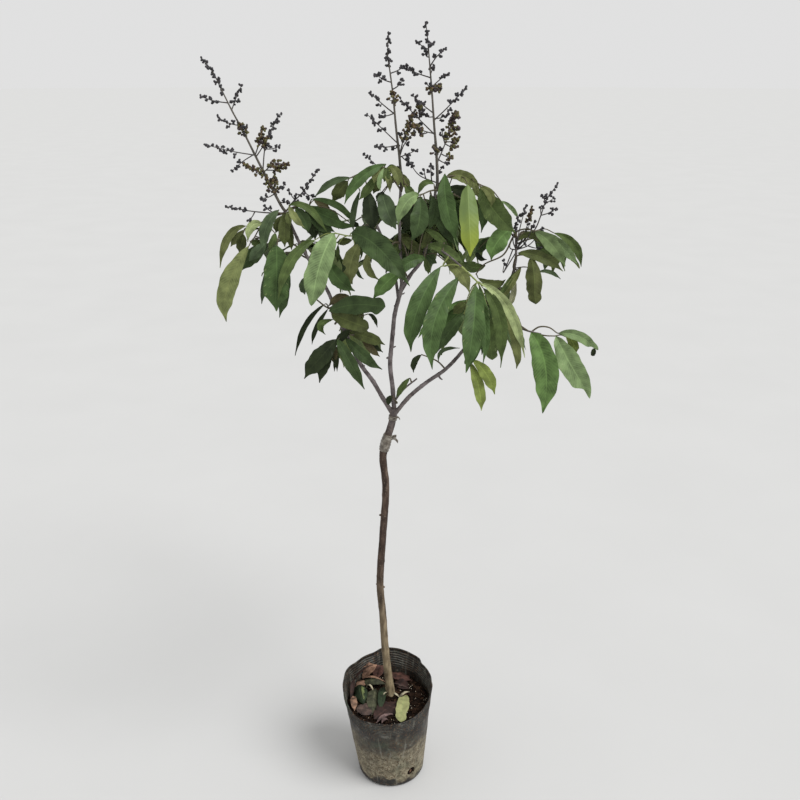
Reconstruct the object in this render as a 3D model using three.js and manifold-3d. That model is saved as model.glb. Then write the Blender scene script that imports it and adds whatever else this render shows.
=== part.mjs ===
// Potted lychee sapling: a grafted young tree in a soft nursery pot.
// Millimetres, +Z up, and the front of the plant faces -Y.
// The origin is the centre of the pot's flat underside.
import * as THREE from 'three';
import { mergeVertices } from 'three/addons/utils/BufferGeometryUtils.js';
import Module from 'manifold-3d';

const wasm = await Module();
wasm.setup();

// Driving dimensions: fits
const GAP = 0.3; // left between two pieces that touch
const SEAT = 0.35; // how much fatter a piece is made where it cuts a seat in another

// Driving dimensions: the pot
const POT_BASE_RADIUS = 58;
const POT_RIM_RADIUS = 79;
const POT_RIM_HEIGHT = 171; // mean height of the lip
const POT_WALL = 1.8;
const POT_FLOOR = 3;
const POT_EDGE = 6; // rounding between the floor and the wall
const POT_SIDES = 24;
const FLEX_FROM = 60; // above this height the wall is drawn up or down to the lip
const LIP_TILT = 15; // how far the back of the lip stands above its mean height
const LIP_HIGH_SIDE = 85; // degrees, the direction of the highest lip
const TONGUE_RISE = 7; // the back of the lip stands up in a broad tongue
const TONGUE_FROM = 42; // degrees
const TONGUE_TO = 140; // degrees
const TONGUE_STEP = 4; // degrees of slope at its steep right end
const TONGUE_SLOPE = 28; // degrees of slope at its gentle left end
const DENT_DEPTH = 7; // the lip is pressed down at the front left
const DENT_SIDE = 215; // degrees
const DENT_SPREAD = 28; // degrees
const RIM_LEAN = -6; // the soft pot leans to the left at its lip
const RIM_DEPTH_RATIO = 1.05; // the lip is a little deeper than it is wide
const DRAIN_RADIUS = 5;
const DRAIN_HEIGHT = 25;
const DRAIN_FACETS = 12;
const DRAIN_SIDES = [-53, 60, 165]; // degrees

// Driving dimensions: the soil
const SOIL_TOP = 143;
const SOIL_BUMPS = 1.5;
const SOIL_WAVE = 0.12; // radians of each bump's wave per millimetre
const FOOT = [-1, 16]; // where the trunk stands in the pot
const FOOT_FLAT = 24; // radius of the level patch of soil round the trunk

// Driving dimensions: the trunk and its leader
const TRUNK_RADIUS = 6.3;
const TRUNK_TOP_RADIUS = 5.6;
const FLARE_RADIUS = 8.6;
const FLARE_HEIGHT = 45;
const FORK_HEIGHT = 700;
const GRAFT_HEIGHT = 640;
const GRAFT_SWELL = 1.6; // how far the graft stands out beyond the trunk
const GRAFT_SPREAD = 14;
const LEADER_RADIUS = 4.2;
const LEADER_TOP_RADIUS = 3.6;
const LEADER_TOP = 897;
const FILM_THICKNESS = 0.9;
const FILM_SPAN = [628, 658];
const TIE_SPAN = [680, 689];

// Small tools: seeded numbers, solids and lofted shapes
const X_AXIS = new THREE.Vector3(1, 0, 0);
const Y_AXIS = new THREE.Vector3(0, 1, 0);
const MERGE_WITHIN = 1e-4;

function seededRandom(seed) {
  let state = seed;
  return () => {
    state = (state * 1664525 + 1013904223) % 4294967296;
    return state / 4294967296;
  };
}

// A factor near 1 that makes repeated shapes differ
function unevenness(random) {
  return 0.85 + 0.3 * random();
}

function solidOf(geometry) {
  const bare = geometry.clone();
  bare.deleteAttribute('normal');
  bare.deleteAttribute('uv');
  const merged = mergeVertices(bare, MERGE_WITHIN);
  return new wasm.Manifold(
    new wasm.Mesh({
      numProp: 3,
      vertProperties: new Float32Array(merged.attributes.position.array),
      triVerts: new Uint32Array(merged.index.array),
    }),
  );
}

function geometryOf(solid) {
  const mesh = solid.getMesh();
  const geometry = new THREE.BufferGeometry();
  geometry.setAttribute('position', new THREE.BufferAttribute(new Float32Array(mesh.vertProperties), 3));
  geometry.setIndex(Array.from(mesh.triVerts));
  return geometry;
}

function unionOf(solids) {
  return solids.reduce((whole, solid) => whole.add(solid));
}

// What is left of a solid clear of its neighbours: offcuts that hang loose are dropped
function cutClear(solid, neighbours) {
  const left = neighbours.reduce((rest, neighbour) => rest.subtract(neighbour), solid);
  return left.decompose().reduce((a, b) => (b.volume() > a.volume() ? b : a));
}

// A closed solid lofted along a curve. `halfSizes(u)` gives its half width along `across`
// and its half thickness square to it, at the share u of the length.
function loft(curve, { rings, sides, across, halfSizes, levelFoot = false }) {
  const positions = [];
  const indices = [];
  for (let i = 0; i <= rings; i += 1) {
    const u = i / rings;
    const centre = curve.getPointAt(u);
    const tangent = curve.getTangentAt(u);
    const thin = new THREE.Vector3().crossVectors(tangent, across).normalize();
    const wide = new THREE.Vector3().crossVectors(thin, tangent).normalize();
    const [halfWidth, halfThickness] = halfSizes(u);
    for (let k = 0; k < sides; k += 1) {
      const angle = (k / sides) * 2 * Math.PI;
      const point = centre
        .clone()
        .addScaledVector(wide, Math.cos(angle) * halfWidth)
        .addScaledVector(thin, Math.sin(angle) * halfThickness);
      const z = levelFoot && i === 0 ? centre.z : point.z;
      positions.push(point.x, point.y, z);
    }
  }
  for (let i = 0; i < rings; i += 1) {
    for (let k = 0; k < sides; k += 1) {
      const next = (k + 1) % sides;
      const a = i * sides + k;
      const b = i * sides + next;
      indices.push(a, b, a + sides, b, b + sides, a + sides);
    }
  }
  const last = rings * sides;
  for (let k = 1; k < sides - 1; k += 1) {
    indices.push(0, k + 1, k);
    indices.push(last, last + k, last + k + 1);
  }
  const geometry = new THREE.BufferGeometry();
  geometry.setAttribute('position', new THREE.BufferAttribute(new Float32Array(positions), 3));
  geometry.setIndex(indices);
  return geometry;
}

function curveThrough(points) {
  return new THREE.CatmullRomCurve3(
    points.map((point) => new THREE.Vector3(...point)),
    false,
    'centripetal',
  );
}

// One tapering limb as a solid, `grow` millimetres fatter all round where it cuts a seat
function limb({ route, from, to, rings = 8, sides = 5, across = Y_AXIS }, grow = 0) {
  const halfSizes = (u) => {
    const radius = THREE.MathUtils.lerp(from, to, u) + grow;
    return [radius, radius];
  };
  return solidOf(loft(curveThrough(route), { rings, sides, across, halfSizes }));
}

const group = new THREE.Group();

function addNode(name, geometry, material) {
  const mesh = new THREE.Mesh(geometry, material);
  mesh.name = name;
  group.add(mesh);
}

// Materials
const potPlastic = new THREE.MeshStandardMaterial({ color: 0x2f2e2b, roughness: 0.7, metalness: 0 });
const soilMaterial = new THREE.MeshStandardMaterial({ color: 0x2e211a, roughness: 0.95, metalness: 0 });
const barkMaterial = new THREE.MeshStandardMaterial({ color: 0x6b5d4b, roughness: 0.9, metalness: 0 });
const filmMaterial = new THREE.MeshStandardMaterial({ color: 0xc9c9c2, roughness: 0.35, metalness: 0 });
const leafMaterial = new THREE.MeshStandardMaterial({ color: 0x3f6a3a, roughness: 0.5, metalness: 0 });
const budMaterial = new THREE.MeshStandardMaterial({ color: 0x4a4f3f, roughness: 0.8, metalness: 0 });

// The pot's outline: a soft tapered cup whose lip rises and falls round the pot
function lipHeight(degrees) {
  const turn = ((degrees % 360) + 360) % 360;
  const tilt = LIP_TILT * Math.cos(THREE.MathUtils.degToRad(turn - LIP_HIGH_SIDE));
  const tongue =
    THREE.MathUtils.smoothstep(turn, TONGUE_FROM - TONGUE_STEP, TONGUE_FROM + TONGUE_STEP) *
    (1 - THREE.MathUtils.smoothstep(turn, TONGUE_TO - TONGUE_SLOPE, TONGUE_TO));
  const dent = Math.exp(-(((turn - DENT_SIDE) / DENT_SPREAD) ** 2));
  return POT_RIM_HEIGHT + tilt + TONGUE_RISE * tongue - DENT_DEPTH * dent;
}

function wallRadius(height) {
  return THREE.MathUtils.lerp(POT_BASE_RADIUS, POT_RIM_RADIUS, height / POT_RIM_HEIGHT);
}

// Turns a profile of [radius, height] round the axis, then leans and ovals it as the soft pot is.
// Heights above FLEX_FROM are stretched to follow the lip when `followLip` is set.
function potShape(profile, followLip) {
  const points = profile.map(([radius, height]) => new THREE.Vector2(radius, height));
  const geometry = new THREE.LatheGeometry(points, POT_SIDES);
  geometry.rotateX(Math.PI / 2);
  const place = geometry.attributes.position;
  for (let i = 0; i < place.count; i += 1) {
    const x = place.getX(i);
    const y = place.getY(i);
    const z = place.getZ(i);
    const azimuth = THREE.MathUtils.radToDeg(Math.atan2(y, x));
    const stretch = (lipHeight(azimuth) - FLEX_FROM) / (POT_RIM_HEIGHT - FLEX_FROM);
    const height = followLip && z > FLEX_FROM ? FLEX_FROM + (z - FLEX_FROM) * stretch : z;
    const widen = wallRadius(height) / wallRadius(z);
    const share = height / POT_RIM_HEIGHT;
    const deepen = THREE.MathUtils.lerp(1, RIM_DEPTH_RATIO, share);
    place.setXYZ(i, x * widen + RIM_LEAN * share, y * widen * deepen, height);
  }
  return geometry;
}

function buildPot() {
  const wallSteps = 2;
  const bevel = POT_EDGE * (1 - Math.SQRT1_2); // the middle of the rounded edge
  const profile = [[0, 0]];
  profile.push([POT_BASE_RADIUS - POT_EDGE, 0]);
  profile.push([POT_BASE_RADIUS - bevel, bevel]);
  for (let i = 0; i <= wallSteps; i += 1) {
    const height = THREE.MathUtils.lerp(POT_EDGE, POT_RIM_HEIGHT, i / wallSteps);
    profile.push([wallRadius(height), height]);
  }
  for (let i = wallSteps; i >= 0; i -= 1) {
    const height = THREE.MathUtils.lerp(POT_EDGE + POT_FLOOR, POT_RIM_HEIGHT, i / wallSteps);
    profile.push([wallRadius(height) - POT_WALL, height]);
  }
  profile.push([POT_BASE_RADIUS - POT_EDGE, POT_FLOOR]);
  profile.push([0, POT_FLOOR]);
  let pot = solidOf(potShape(profile, true));
  for (const side of DRAIN_SIDES) {
    const hole = new THREE.CylinderGeometry(DRAIN_RADIUS, DRAIN_RADIUS, POT_WALL * 8, DRAIN_FACETS);
    hole.rotateZ(Math.PI / 2);
    hole.translate(wallRadius(DRAIN_HEIGHT), 0, DRAIN_HEIGHT);
    hole.rotateZ(THREE.MathUtils.degToRad(side));
    pot = pot.subtract(solidOf(hole));
  }
  addNode('pot', geometryOf(pot), potPlastic);
}

// The soil fills the pot from its floor to just under the lip, level only round the trunk's foot
function buildSoil() {
  const play = POT_WALL + 2 * GAP;
  const profile = [
    [0, POT_FLOOR + GAP],
    [POT_BASE_RADIUS - POT_EDGE - GAP, POT_FLOOR + GAP],
    [wallRadius(POT_EDGE * 2) - play, POT_EDGE * 2],
    [wallRadius(SOIL_TOP) - play, SOIL_TOP],
  ];
  for (const share of [0.65, 0.3, 0]) {
    profile.push([(wallRadius(SOIL_TOP) - play) * share, SOIL_TOP]);
  }
  const geometry = potShape(profile, false);
  const place = geometry.attributes.position;
  for (let i = 0; i < place.count; i += 1) {
    const x = place.getX(i);
    const y = place.getY(i);
    const isTop = place.getZ(i) > SOIL_TOP - 1;
    const awayFromTrunk = Math.hypot(x - FOOT[0], y - FOOT[1]) > FOOT_FLAT;
    if (isTop && awayFromTrunk) {
      const wave = Math.sin(x * SOIL_WAVE) * Math.cos(y * SOIL_WAVE);
      place.setZ(i, SOIL_TOP - SOIL_BUMPS + SOIL_BUMPS * wave);
    }
  }
  addNode('soil', geometryOf(solidOf(geometry)), soilMaterial);
}

// The trunk: from a flat cut on the soil up to the fork, with its flare, its lean and its graft
const TRUNK_ROUTE = [
  [FOOT[0], FOOT[1], SOIL_TOP + GAP],
  [-10, 14, 243],
  [-14, 12, 318],
  [-18, 10, 374],
  [-12, 6, 478],
  [-8, 3, 562],
  [-11, 1, 618],
  [-6, 0, 644],
  [3, 0, 675],
  [7, 0, FORK_HEIGHT],
];
const LEADER_ROUTE = [
  [7, 0, FORK_HEIGHT - 3],
  [3, 0, 735],
  [-0.5, 0, 772],
  [3, 0, 815],
  [7, 0, 851],
  [15, 0, 880],
  [19, 0, LEADER_TOP],
];

function trunkRadius(height) {
  const share = (height - SOIL_TOP) / (FORK_HEIGHT - SOIL_TOP);
  const shaft = THREE.MathUtils.lerp(TRUNK_RADIUS, TRUNK_TOP_RADIUS, share);
  const flare = (FLARE_RADIUS - TRUNK_RADIUS) * Math.exp(-(height - SOIL_TOP) / FLARE_HEIGHT);
  const graft = GRAFT_SWELL * Math.exp(-(((height - GRAFT_HEIGHT) / GRAFT_SPREAD) ** 2));
  return shaft + flare + graft;
}

// A stretch of the trunk between two shares of its length, `grow` fatter than the bark
function trunkPiece(fromShare, toShare, rings, sides, grow) {
  const curve = curveThrough(TRUNK_ROUTE);
  const stretch = {
    getPointAt: (u) => curve.getPointAt(THREE.MathUtils.lerp(fromShare, toShare, u)),
    getTangentAt: (u) => curve.getTangentAt(THREE.MathUtils.lerp(fromShare, toShare, u)),
  };
  const halfSizes = (u) => {
    const radius = trunkRadius(stretch.getPointAt(u).z) + grow;
    return [radius, radius];
  };
  return solidOf(loft(stretch, { rings, sides, across: Y_AXIS, halfSizes, levelFoot: fromShare === 0 }));
}

function trunkShareAt(height) {
  return (height - SOIL_TOP) / (FORK_HEIGHT - SOIL_TOP);
}

const TRUNK_SIDES = 8;
const TRUNK_RINGS = 20;
const trunk = trunkPiece(0, 1, TRUNK_RINGS, TRUNK_SIDES, 0);
const trunkSeat = trunkPiece(0, 1, TRUNK_RINGS, TRUNK_SIDES, SEAT);

// A thin band wound round the trunk between two heights
function trunkBand([low, high], rings) {
  const grow = SEAT + FILM_THICKNESS;
  const outside = trunkPiece(trunkShareAt(low), trunkShareAt(high), rings, TRUNK_SIDES, grow);
  return outside.subtract(trunkSeat);
}

// Limbs: each one tapers from `from` to `to`, and its foot is cut to sit on the wood it leaves
const LIMBS = {
  leader: {
    route: LEADER_ROUTE,
    from: LEADER_RADIUS, to: LEADER_TOP_RADIUS, rings: 10, sides: 7, on: ['trunk'],
  },
  left_bough: {
    route: [[5, 0, 690], [-6, 0, 716], [-22, 0, 747], [-44, 3, 773], [-68, 5, 824], [-95, 10, 890],
      [-130, 14, 951], [-152, 15, 1003]],
    from: 4.2, to: 2.4, rings: 11, on: ['trunk', 'leader'],
  },
  right_bough: {
    route: [[8, 0, 691], [30, 0, 721], [57, 4, 744], [86, 8, 764], [110, 10, 790], [153, 15, 847],
      [187, 22, 913], [189, 25, 965]],
    from: 4.0, to: 2.4, rings: 11, on: ['trunk', 'leader', 'left_bough'],
  },
  fork_twig: {
    route: [[7, 0, 712], [22, -3, 733], [42, -8, 752]],
    from: 2.0, to: 1.4, rings: 3, on: ['leader', 'right_bough'],
  },
  centre_left_shoot: {
    route: [[18.6, 0, LEADER_TOP - 3], [16, -2, 960], [15, -4, 1005], [17, -5, 1037]],
    from: 3.1, to: 2.3, rings: 6, on: ['leader'],
  },
  centre_right_shoot: {
    route: [[19, 0, LEADER_TOP - 3], [31, -2, 912], [48, -6, 935], [58, -10, 975], [67, -15, 1040]],
    from: 3.1, to: 2.3, rings: 8, on: ['leader', 'centre_left_shoot'],
  },
  back_left_shoot: {
    route: [[14, 0, 872], [8, 30, 905], [-8, 70, 945], [-25, 105, 980]],
    from: 2.8, to: 2.0, rings: 5, across: X_AXIS, on: ['leader', 'centre_left_shoot', 'centre_right_shoot'],
  },
  back_right_shoot: {
    route: [[17, 0, 886], [40, 35, 915], [75, 75, 950], [105, 105, 975]],
    from: 2.8, to: 2.0, rings: 5, across: X_AXIS,
    on: ['leader', 'centre_left_shoot', 'centre_right_shoot', 'back_left_shoot'],
  },
  back_low_shoot: {
    route: [[131, 12, 816], [138, 35, 838], [145, 70, 865]],
    from: 2.2, to: 1.6, rings: 4, across: X_AXIS, on: ['right_bough'],
  },
  front_stalk: {
    route: [[56, -9, 967], [66, -40, 962], [84, -75, 955], [100, -98, 945]],
    from: 2.2, to: 1.6, rings: 5, across: X_AXIS, on: ['centre_right_shoot'],
  },
  far_right_stalk: {
    route: [[145, 13, 836], [175, 2, 838], [205, -14, 833], [228, -20, 830]],
    from: 1.8, to: 1.4, rings: 5, on: ['right_bough', 'back_low_shoot'],
  },
};

function buildWood() {
  addNode('trunk', geometryOf(trunk), barkMaterial);
  addNode('graft_film', geometryOf(trunkBand(FILM_SPAN, 2)), filmMaterial);
  addNode('upper_tie', geometryOf(trunkBand(TIE_SPAN, 1)), filmMaterial);
  const seats = { trunk: trunkSeat };
  for (const [name, shape] of Object.entries(LIMBS)) {
    const wood = (shape.on ?? []).map((other) => seats[other]);
    seats[name] = limb(shape, SEAT);
    addNode(name, geometryOf(cutClear(limb(shape), wood)), barkMaterial);
  }
  return Object.values(seats);
}

// A drooping lobe of leaves: it leaves `heart`, arches over and hangs to `tip`
function lobe(heart, tip, { width, thickness, rise, shoulderAt, rings }, grow) {
  const start = new THREE.Vector3(...heart);
  const end = new THREE.Vector3(...tip);
  const shoulder = start.clone().lerp(end, shoulderAt);
  shoulder.z = Math.max(start.z, end.z) + rise;
  const across = new THREE.Vector3(start.y - end.y, end.x - start.x, 0);
  if (across.length() < 1) across.copy(X_AXIS);
  across.normalize();
  const halfSizes = (u) => {
    const fullness = Math.sin(Math.PI * THREE.MathUtils.lerp(LOBE_ENDS[0], LOBE_ENDS[1], u));
    return [(width / 2) * fullness + grow, (thickness / 2) * fullness + grow];
  };
  const curve = new THREE.QuadraticBezierCurve3(start, shoulder, end);
  return solidOf(loft(curve, { rings, sides: 4, across, halfSizes }));
}

// The dense middle of a mass, an uneven lump round its heart
function core(heart, [rx, ry, rz], random, grow) {
  const ball = new THREE.IcosahedronGeometry(1, 0);
  ball.deleteAttribute('normal');
  ball.deleteAttribute('uv');
  const lump = mergeVertices(ball, MERGE_WITHIN);
  const place = lump.attributes.position;
  for (let i = 0; i < place.count; i += 1) {
    const uneven = unevenness(random);
    place.setXYZ(
      i,
      heart[0] + place.getX(i) * (rx * uneven + grow),
      heart[1] + place.getY(i) * (ry * uneven + grow),
      heart[2] + place.getZ(i) * (rz * uneven + grow),
    );
  }
  return solidOf(lump);
}

// Tips of the lobes on the sides that are seen only from elsewhere: a fan of even, then roughened, steps
function fanTips(heart, { from, to, count, reach, drop }, random) {
  const tips = [];
  for (let i = 0; i < count; i += 1) {
    const share = count > 1 ? i / (count - 1) : 0.5;
    const azimuth = THREE.MathUtils.degToRad(THREE.MathUtils.lerp(from, to, share) * unevenness(random));
    const out = reach * unevenness(random);
    const down = drop * unevenness(random);
    tips.push([heart[0] + out * Math.cos(azimuth), heart[1] + out * Math.sin(azimuth), heart[2] - down]);
  }
  return tips;
}

// Masses of foliage: `heart` is where the leaves spring from, `tips` are the ends of the lobes
// that make the outline, and `fan` fills the side away from the viewer.
const LOBE_ENDS = [0.13, 0.97]; // shares of a half wave, so that a lobe is narrow at both ends
const LOBE = { width: 34, thickness: 18, rise: 10, shoulderAt: 0.7, rings: 3 };
const MASSES = {
  left_foliage: {
    heart: [-156, 12, 985], core: [32, 34, 20], ...LOBE, shoulderAt: 0.9,
    tips: [[-249, 0, 840], [-257, 30, 915], [-205, -12, 870], [-168, -28, 860], [-102, -45, 866],
      [-60, -10, 940]],
    fan: { from: 40, to: 160, count: 3, reach: 92, drop: 70 },
  },
  lower_left_foliage: {
    heart: [-82, -6, 838], core: [22, 20, 14], ...LOBE, width: 28,
    tips: [[-7, -30, 866], [-12, -25, 780], [-38, -50, 752], [-107, -30, 748], [-132, -20, 764],
      [-147, 20, 782]],
    fan: { from: 70, to: 110, count: 2, reach: 45, drop: 70 },
  },
  centre_left_foliage: {
    heart: [14, -8, 1030], core: [26, 30, 18], ...LOBE, rise: 45,
    tips: [[-103, 0, 1024], [-62, -42, 1012], [-57, 0, 982], [-18, -45, 980], [12, -60, 985]],
    fan: { from: 60, to: 165, count: 3, reach: 80, drop: 40 },
  },
  centre_foliage: {
    heart: [2, -16, 958], core: [34, 30, 18], ...LOBE,
    tips: [[-62, -8, 892], [-26, -20, 884], [28, -100, 915], [34, -62, 945], [46, 22, 932]],
    fan: { from: 100, to: 150, count: 2, reach: 50, drop: 60 },
  },
  upper_right_foliage: {
    heart: [72, -12, 1026], core: [30, 32, 20], ...LOBE, rise: 45,
    tips: [[95, -34, 952], [116, -70, 950], [128, 26, 1020], [185, -4, 973], [60, -50, 970]],
    fan: { from: 20, to: 110, count: 3, reach: 95, drop: 45 },
  },
  front_right_foliage: {
    heart: [96, -98, 942], core: [26, 22, 14], ...LOBE, width: 38, shoulderAt: 0.8,
    tips: [[28, -130, 832], [60, -158, 816], [106, -160, 812], [154, -122, 806], [186, -95, 798]],
    fan: { from: 0, to: 40, count: 2, reach: 55, drop: 90 },
  },
  right_low_foliage: {
    heart: [118, -2, 797], core: [12, 12, 9], ...LOBE, width: 26, thickness: 14,
    tips: [[137, -45, 720], [158, -38, 742], [150, -10, 760]],
    fan: { from: 60, to: 100, count: 2, reach: 50, drop: 55 },
  },
  far_right_foliage: {
    heart: [234, -20, 829], core: [12, 12, 8], ...LOBE,
    tips: [[230, -58, 713], [298, -58, 743], [310, -20, 802], [262, -5, 770]],
    fan: { from: 50, to: 80, count: 1, reach: 60, drop: 50 },
  },
  right_foliage: {
    heart: [194, 22, 958], core: [26, 28, 18], ...LOBE,
    tips: [[262, -6, 923], [290, 36, 915], [217, -14, 869], [180, -14, 880], [144, 0, 934], [256, 10, 906]],
    fan: { from: 50, to: 150, count: 3, reach: 80, drop: 60 },
  },
  back_left_foliage: {
    heart: [-26, 112, 975], core: [30, 28, 18], ...LOBE, width: 38,
    tips: [],
    fan: { from: 10, to: 250, count: 7, reach: 82, drop: 62 },
  },
  back_right_foliage: {
    heart: [108, 112, 970], core: [30, 28, 18], ...LOBE, width: 38,
    tips: [],
    fan: { from: -60, to: 180, count: 7, reach: 82, drop: 62 },
  },
  back_low_foliage: {
    heart: [146, 76, 862], core: [20, 20, 12], ...LOBE,
    tips: [],
    fan: { from: -15, to: 165, count: 5, reach: 66, drop: 70 },
  },
};

function foliageMass({ heart, core: coreSize, tips, fan, ...leaf }, seed, grow) {
  const random = seededRandom(seed);
  const pieces = [core(heart, coreSize, random, grow)];
  for (const tip of [...tips, ...fanTips(heart, fan, random)]) {
    const uneven = unevenness(random);
    const size = { ...leaf, width: leaf.width * uneven, thickness: leaf.thickness * uneven };
    pieces.push(lobe(heart, tip, size, grow));
  }
  return unionOf(pieces);
}

// Panicles of flower buds: a slender spindle from the shoot to its tip, with shorter arms.
// Each arm is [share of the spindle where it leaves, and its tip].
const PANICLES = {
  left_panicle: {
    foot: [-152, 15, 1001], tip: [-252, 5, 1209], from: 4.5, to: 4,
    arms: [[0.3, [-228, 2, 1058]], [0.35, [-256, 0, 1098]], [0.35, [-155, 8, 1137]], [0.3, [-147, 22, 1072]],
      [0.62, [-261, 14, 1160]], [0.68, [-206, 12, 1172]]],
  },
  left_low_panicle: {
    foot: [-150, 15, 988], tip: [-234, 10, 1012], from: 3, to: 3,
    arms: [[0.4, [-206, -6, 984]]],
  },
  left_inner_panicle: {
    foot: [-146, 16, 992], tip: [-106, 28, 1060], from: 3, to: 3,
    arms: [[0.5, [-143, 30, 1034]]],
  },
  centre_left_panicle: {
    foot: [17, -5, 1035], tip: [-1, -10, 1240], from: 4.5, to: 4,
    arms: [[0.28, [-26, -22, 1097]], [0.28, [38, -16, 1094]], [0.4, [-28, 4, 1137]], [0.55, [32, 4, 1135]],
      [0.6, [-24, -8, 1165]], [0.72, [22, -12, 1203]]],
  },
  centre_right_panicle: {
    foot: [67, -15, 1038], tip: [51, -10, 1251], from: 4.5, to: 4,
    arms: [[0.1, [29, -10, 1080]], [0.2, [93, -4, 1141]], [0.42, [104, -22, 1173]], [0.38, [17, -16, 1155]],
      [0.62, [80, -8, 1190]], [0.68, [27, -12, 1198]]],
  },
  right_panicle: {
    foot: [190, 24, 964], tip: [245, 25, 1040], from: 3.5, to: 3.5,
    arms: [[0.4, [245, 32, 1004]], [0.3, [200, 16, 1008]], [0.7, [225, 22, 1025]]],
  },
};

const BEAD_DEPTH = 0.35;
const BEAD_TURN = 2.6; // radians from one ring to the next

function spindle(start, end, { from, to, rings, sides }, grow) {
  const foot = new THREE.Vector3(...start);
  const tip = new THREE.Vector3(...end);
  const across = new THREE.Vector3().crossVectors(tip.clone().sub(foot), Y_AXIS).normalize();
  const halfSizes = (u) => {
    const beads = 1 + BEAD_DEPTH * Math.sin(u * rings * BEAD_TURN);
    const point = 1 - 0.75 * u ** 6; // draws the end in to a point
    const radius = THREE.MathUtils.lerp(from, to, u) * beads * point + grow;
    return [radius, radius];
  };
  return solidOf(loft(new THREE.LineCurve3(foot, tip), { rings, sides, across, halfSizes }));
}

function panicle({ foot, tip, from, to, arms }, grow) {
  const pieces = [spindle(foot, tip, { from, to, rings: 6, sides: 4 }, grow)];
  for (const [share, armTip] of arms) {
    const start = foot.map((value, axis) => THREE.MathUtils.lerp(value, tip[axis], share));
    pieces.push(spindle(start, armTip, { from: from * 0.7, to, rings: 2, sides: 3 }, grow));
  }
  return unionOf(pieces);
}

// Panicles stand on the wood, and masses of foliage close round wood, panicles and each other
function buildFoliage(woodSeats) {
  const taken = [...woodSeats];
  for (const [name, shape] of Object.entries(PANICLES)) {
    addNode(name, geometryOf(cutClear(panicle(shape, 0), taken)), budMaterial);
    taken.push(panicle(shape, SEAT));
  }
  Object.entries(MASSES).forEach(([name, shape], index) => {
    const seed = index + 1;
    addNode(name, geometryOf(cutClear(foliageMass(shape, seed, 0), taken)), leafMaterial);
    taken.push(foliageMass(shape, seed, SEAT));
  });
}

buildPot();
buildSoil();
buildFoliage(buildWood());

export default group;
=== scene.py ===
# A potted lychee sapling: bark, leaves, bud panicles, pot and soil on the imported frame.
# Shapes are worked out in millimetres, and every mesh is scaled to metres as it is made.
import math
from collections import namedtuple

import bmesh
import bpy
import numpy as np
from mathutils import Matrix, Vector, noise


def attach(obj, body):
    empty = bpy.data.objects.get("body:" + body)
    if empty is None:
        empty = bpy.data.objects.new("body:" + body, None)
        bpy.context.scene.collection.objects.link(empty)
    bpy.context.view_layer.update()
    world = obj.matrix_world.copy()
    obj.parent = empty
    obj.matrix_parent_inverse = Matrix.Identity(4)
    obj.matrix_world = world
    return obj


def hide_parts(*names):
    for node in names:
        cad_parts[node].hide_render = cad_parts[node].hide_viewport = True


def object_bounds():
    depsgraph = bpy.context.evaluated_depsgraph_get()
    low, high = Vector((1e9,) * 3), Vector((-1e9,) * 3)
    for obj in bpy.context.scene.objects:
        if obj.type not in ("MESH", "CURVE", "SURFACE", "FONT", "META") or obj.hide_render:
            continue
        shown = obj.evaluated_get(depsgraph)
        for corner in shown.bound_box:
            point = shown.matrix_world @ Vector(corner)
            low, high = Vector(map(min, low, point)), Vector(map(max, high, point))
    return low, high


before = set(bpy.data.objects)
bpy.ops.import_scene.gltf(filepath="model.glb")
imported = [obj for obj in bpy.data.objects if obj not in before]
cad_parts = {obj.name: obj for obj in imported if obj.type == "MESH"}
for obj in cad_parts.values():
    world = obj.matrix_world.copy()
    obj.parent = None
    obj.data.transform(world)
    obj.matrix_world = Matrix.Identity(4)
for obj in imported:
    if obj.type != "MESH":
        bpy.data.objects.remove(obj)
cad_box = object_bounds()

MM = 0.001
UP = np.array([0.0, 0.0, 1.0])

# The camera: its place and pitch, and the photograph's frame in pixels
CAMERA_PLACE = np.array([16.0, -1300.0, 1200.0])
CAMERA_PITCH = math.radians(20.5)
FOCAL_PIXELS = 890.0
PICTURE = 800
SENSOR = 36.0


def ray_slopes(py):
    """How far a pixel row's rays lead away and upwards, for each step along the camera's axis."""
    up = (PICTURE / 2 - py) / FOCAL_PIXELS
    away = math.cos(CAMERA_PITCH) + up * math.sin(CAMERA_PITCH)
    rise = up * math.cos(CAMERA_PITCH) - math.sin(CAMERA_PITCH)
    return away, rise


def photo_point(px, py, depth):
    """The point on the camera's ray through a pixel that lies at y = depth."""
    right = (px - PICTURE / 2) / FOCAL_PIXELS
    away, rise = ray_slopes(py)
    reach = (depth - CAMERA_PLACE[1]) / away
    return np.array([CAMERA_PLACE[0] + reach * right, depth, CAMERA_PLACE[2] + reach * rise])


def pixel_size(depth):
    """Millimetres across one pixel, in the crown, at y = depth."""
    return (depth - CAMERA_PLACE[1]) / FOCAL_PIXELS


def picture_places(points):
    """Where points fall in the photograph: pixel columns, pixel rows and distances from the camera."""
    forward = points[:, 1] - CAMERA_PLACE[1]
    below = CAMERA_PLACE[2] - points[:, 2]
    distance = forward * math.cos(CAMERA_PITCH) + below * math.sin(CAMERA_PITCH)
    rise = forward * math.sin(CAMERA_PITCH) - below * math.cos(CAMERA_PITCH)
    across = PICTURE / 2 + FOCAL_PIXELS * (points[:, 0] - CAMERA_PLACE[0]) / distance
    down = PICTURE / 2 - FOCAL_PIXELS * rise / distance
    return across.round().astype(int), down.round().astype(int), distance


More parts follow.
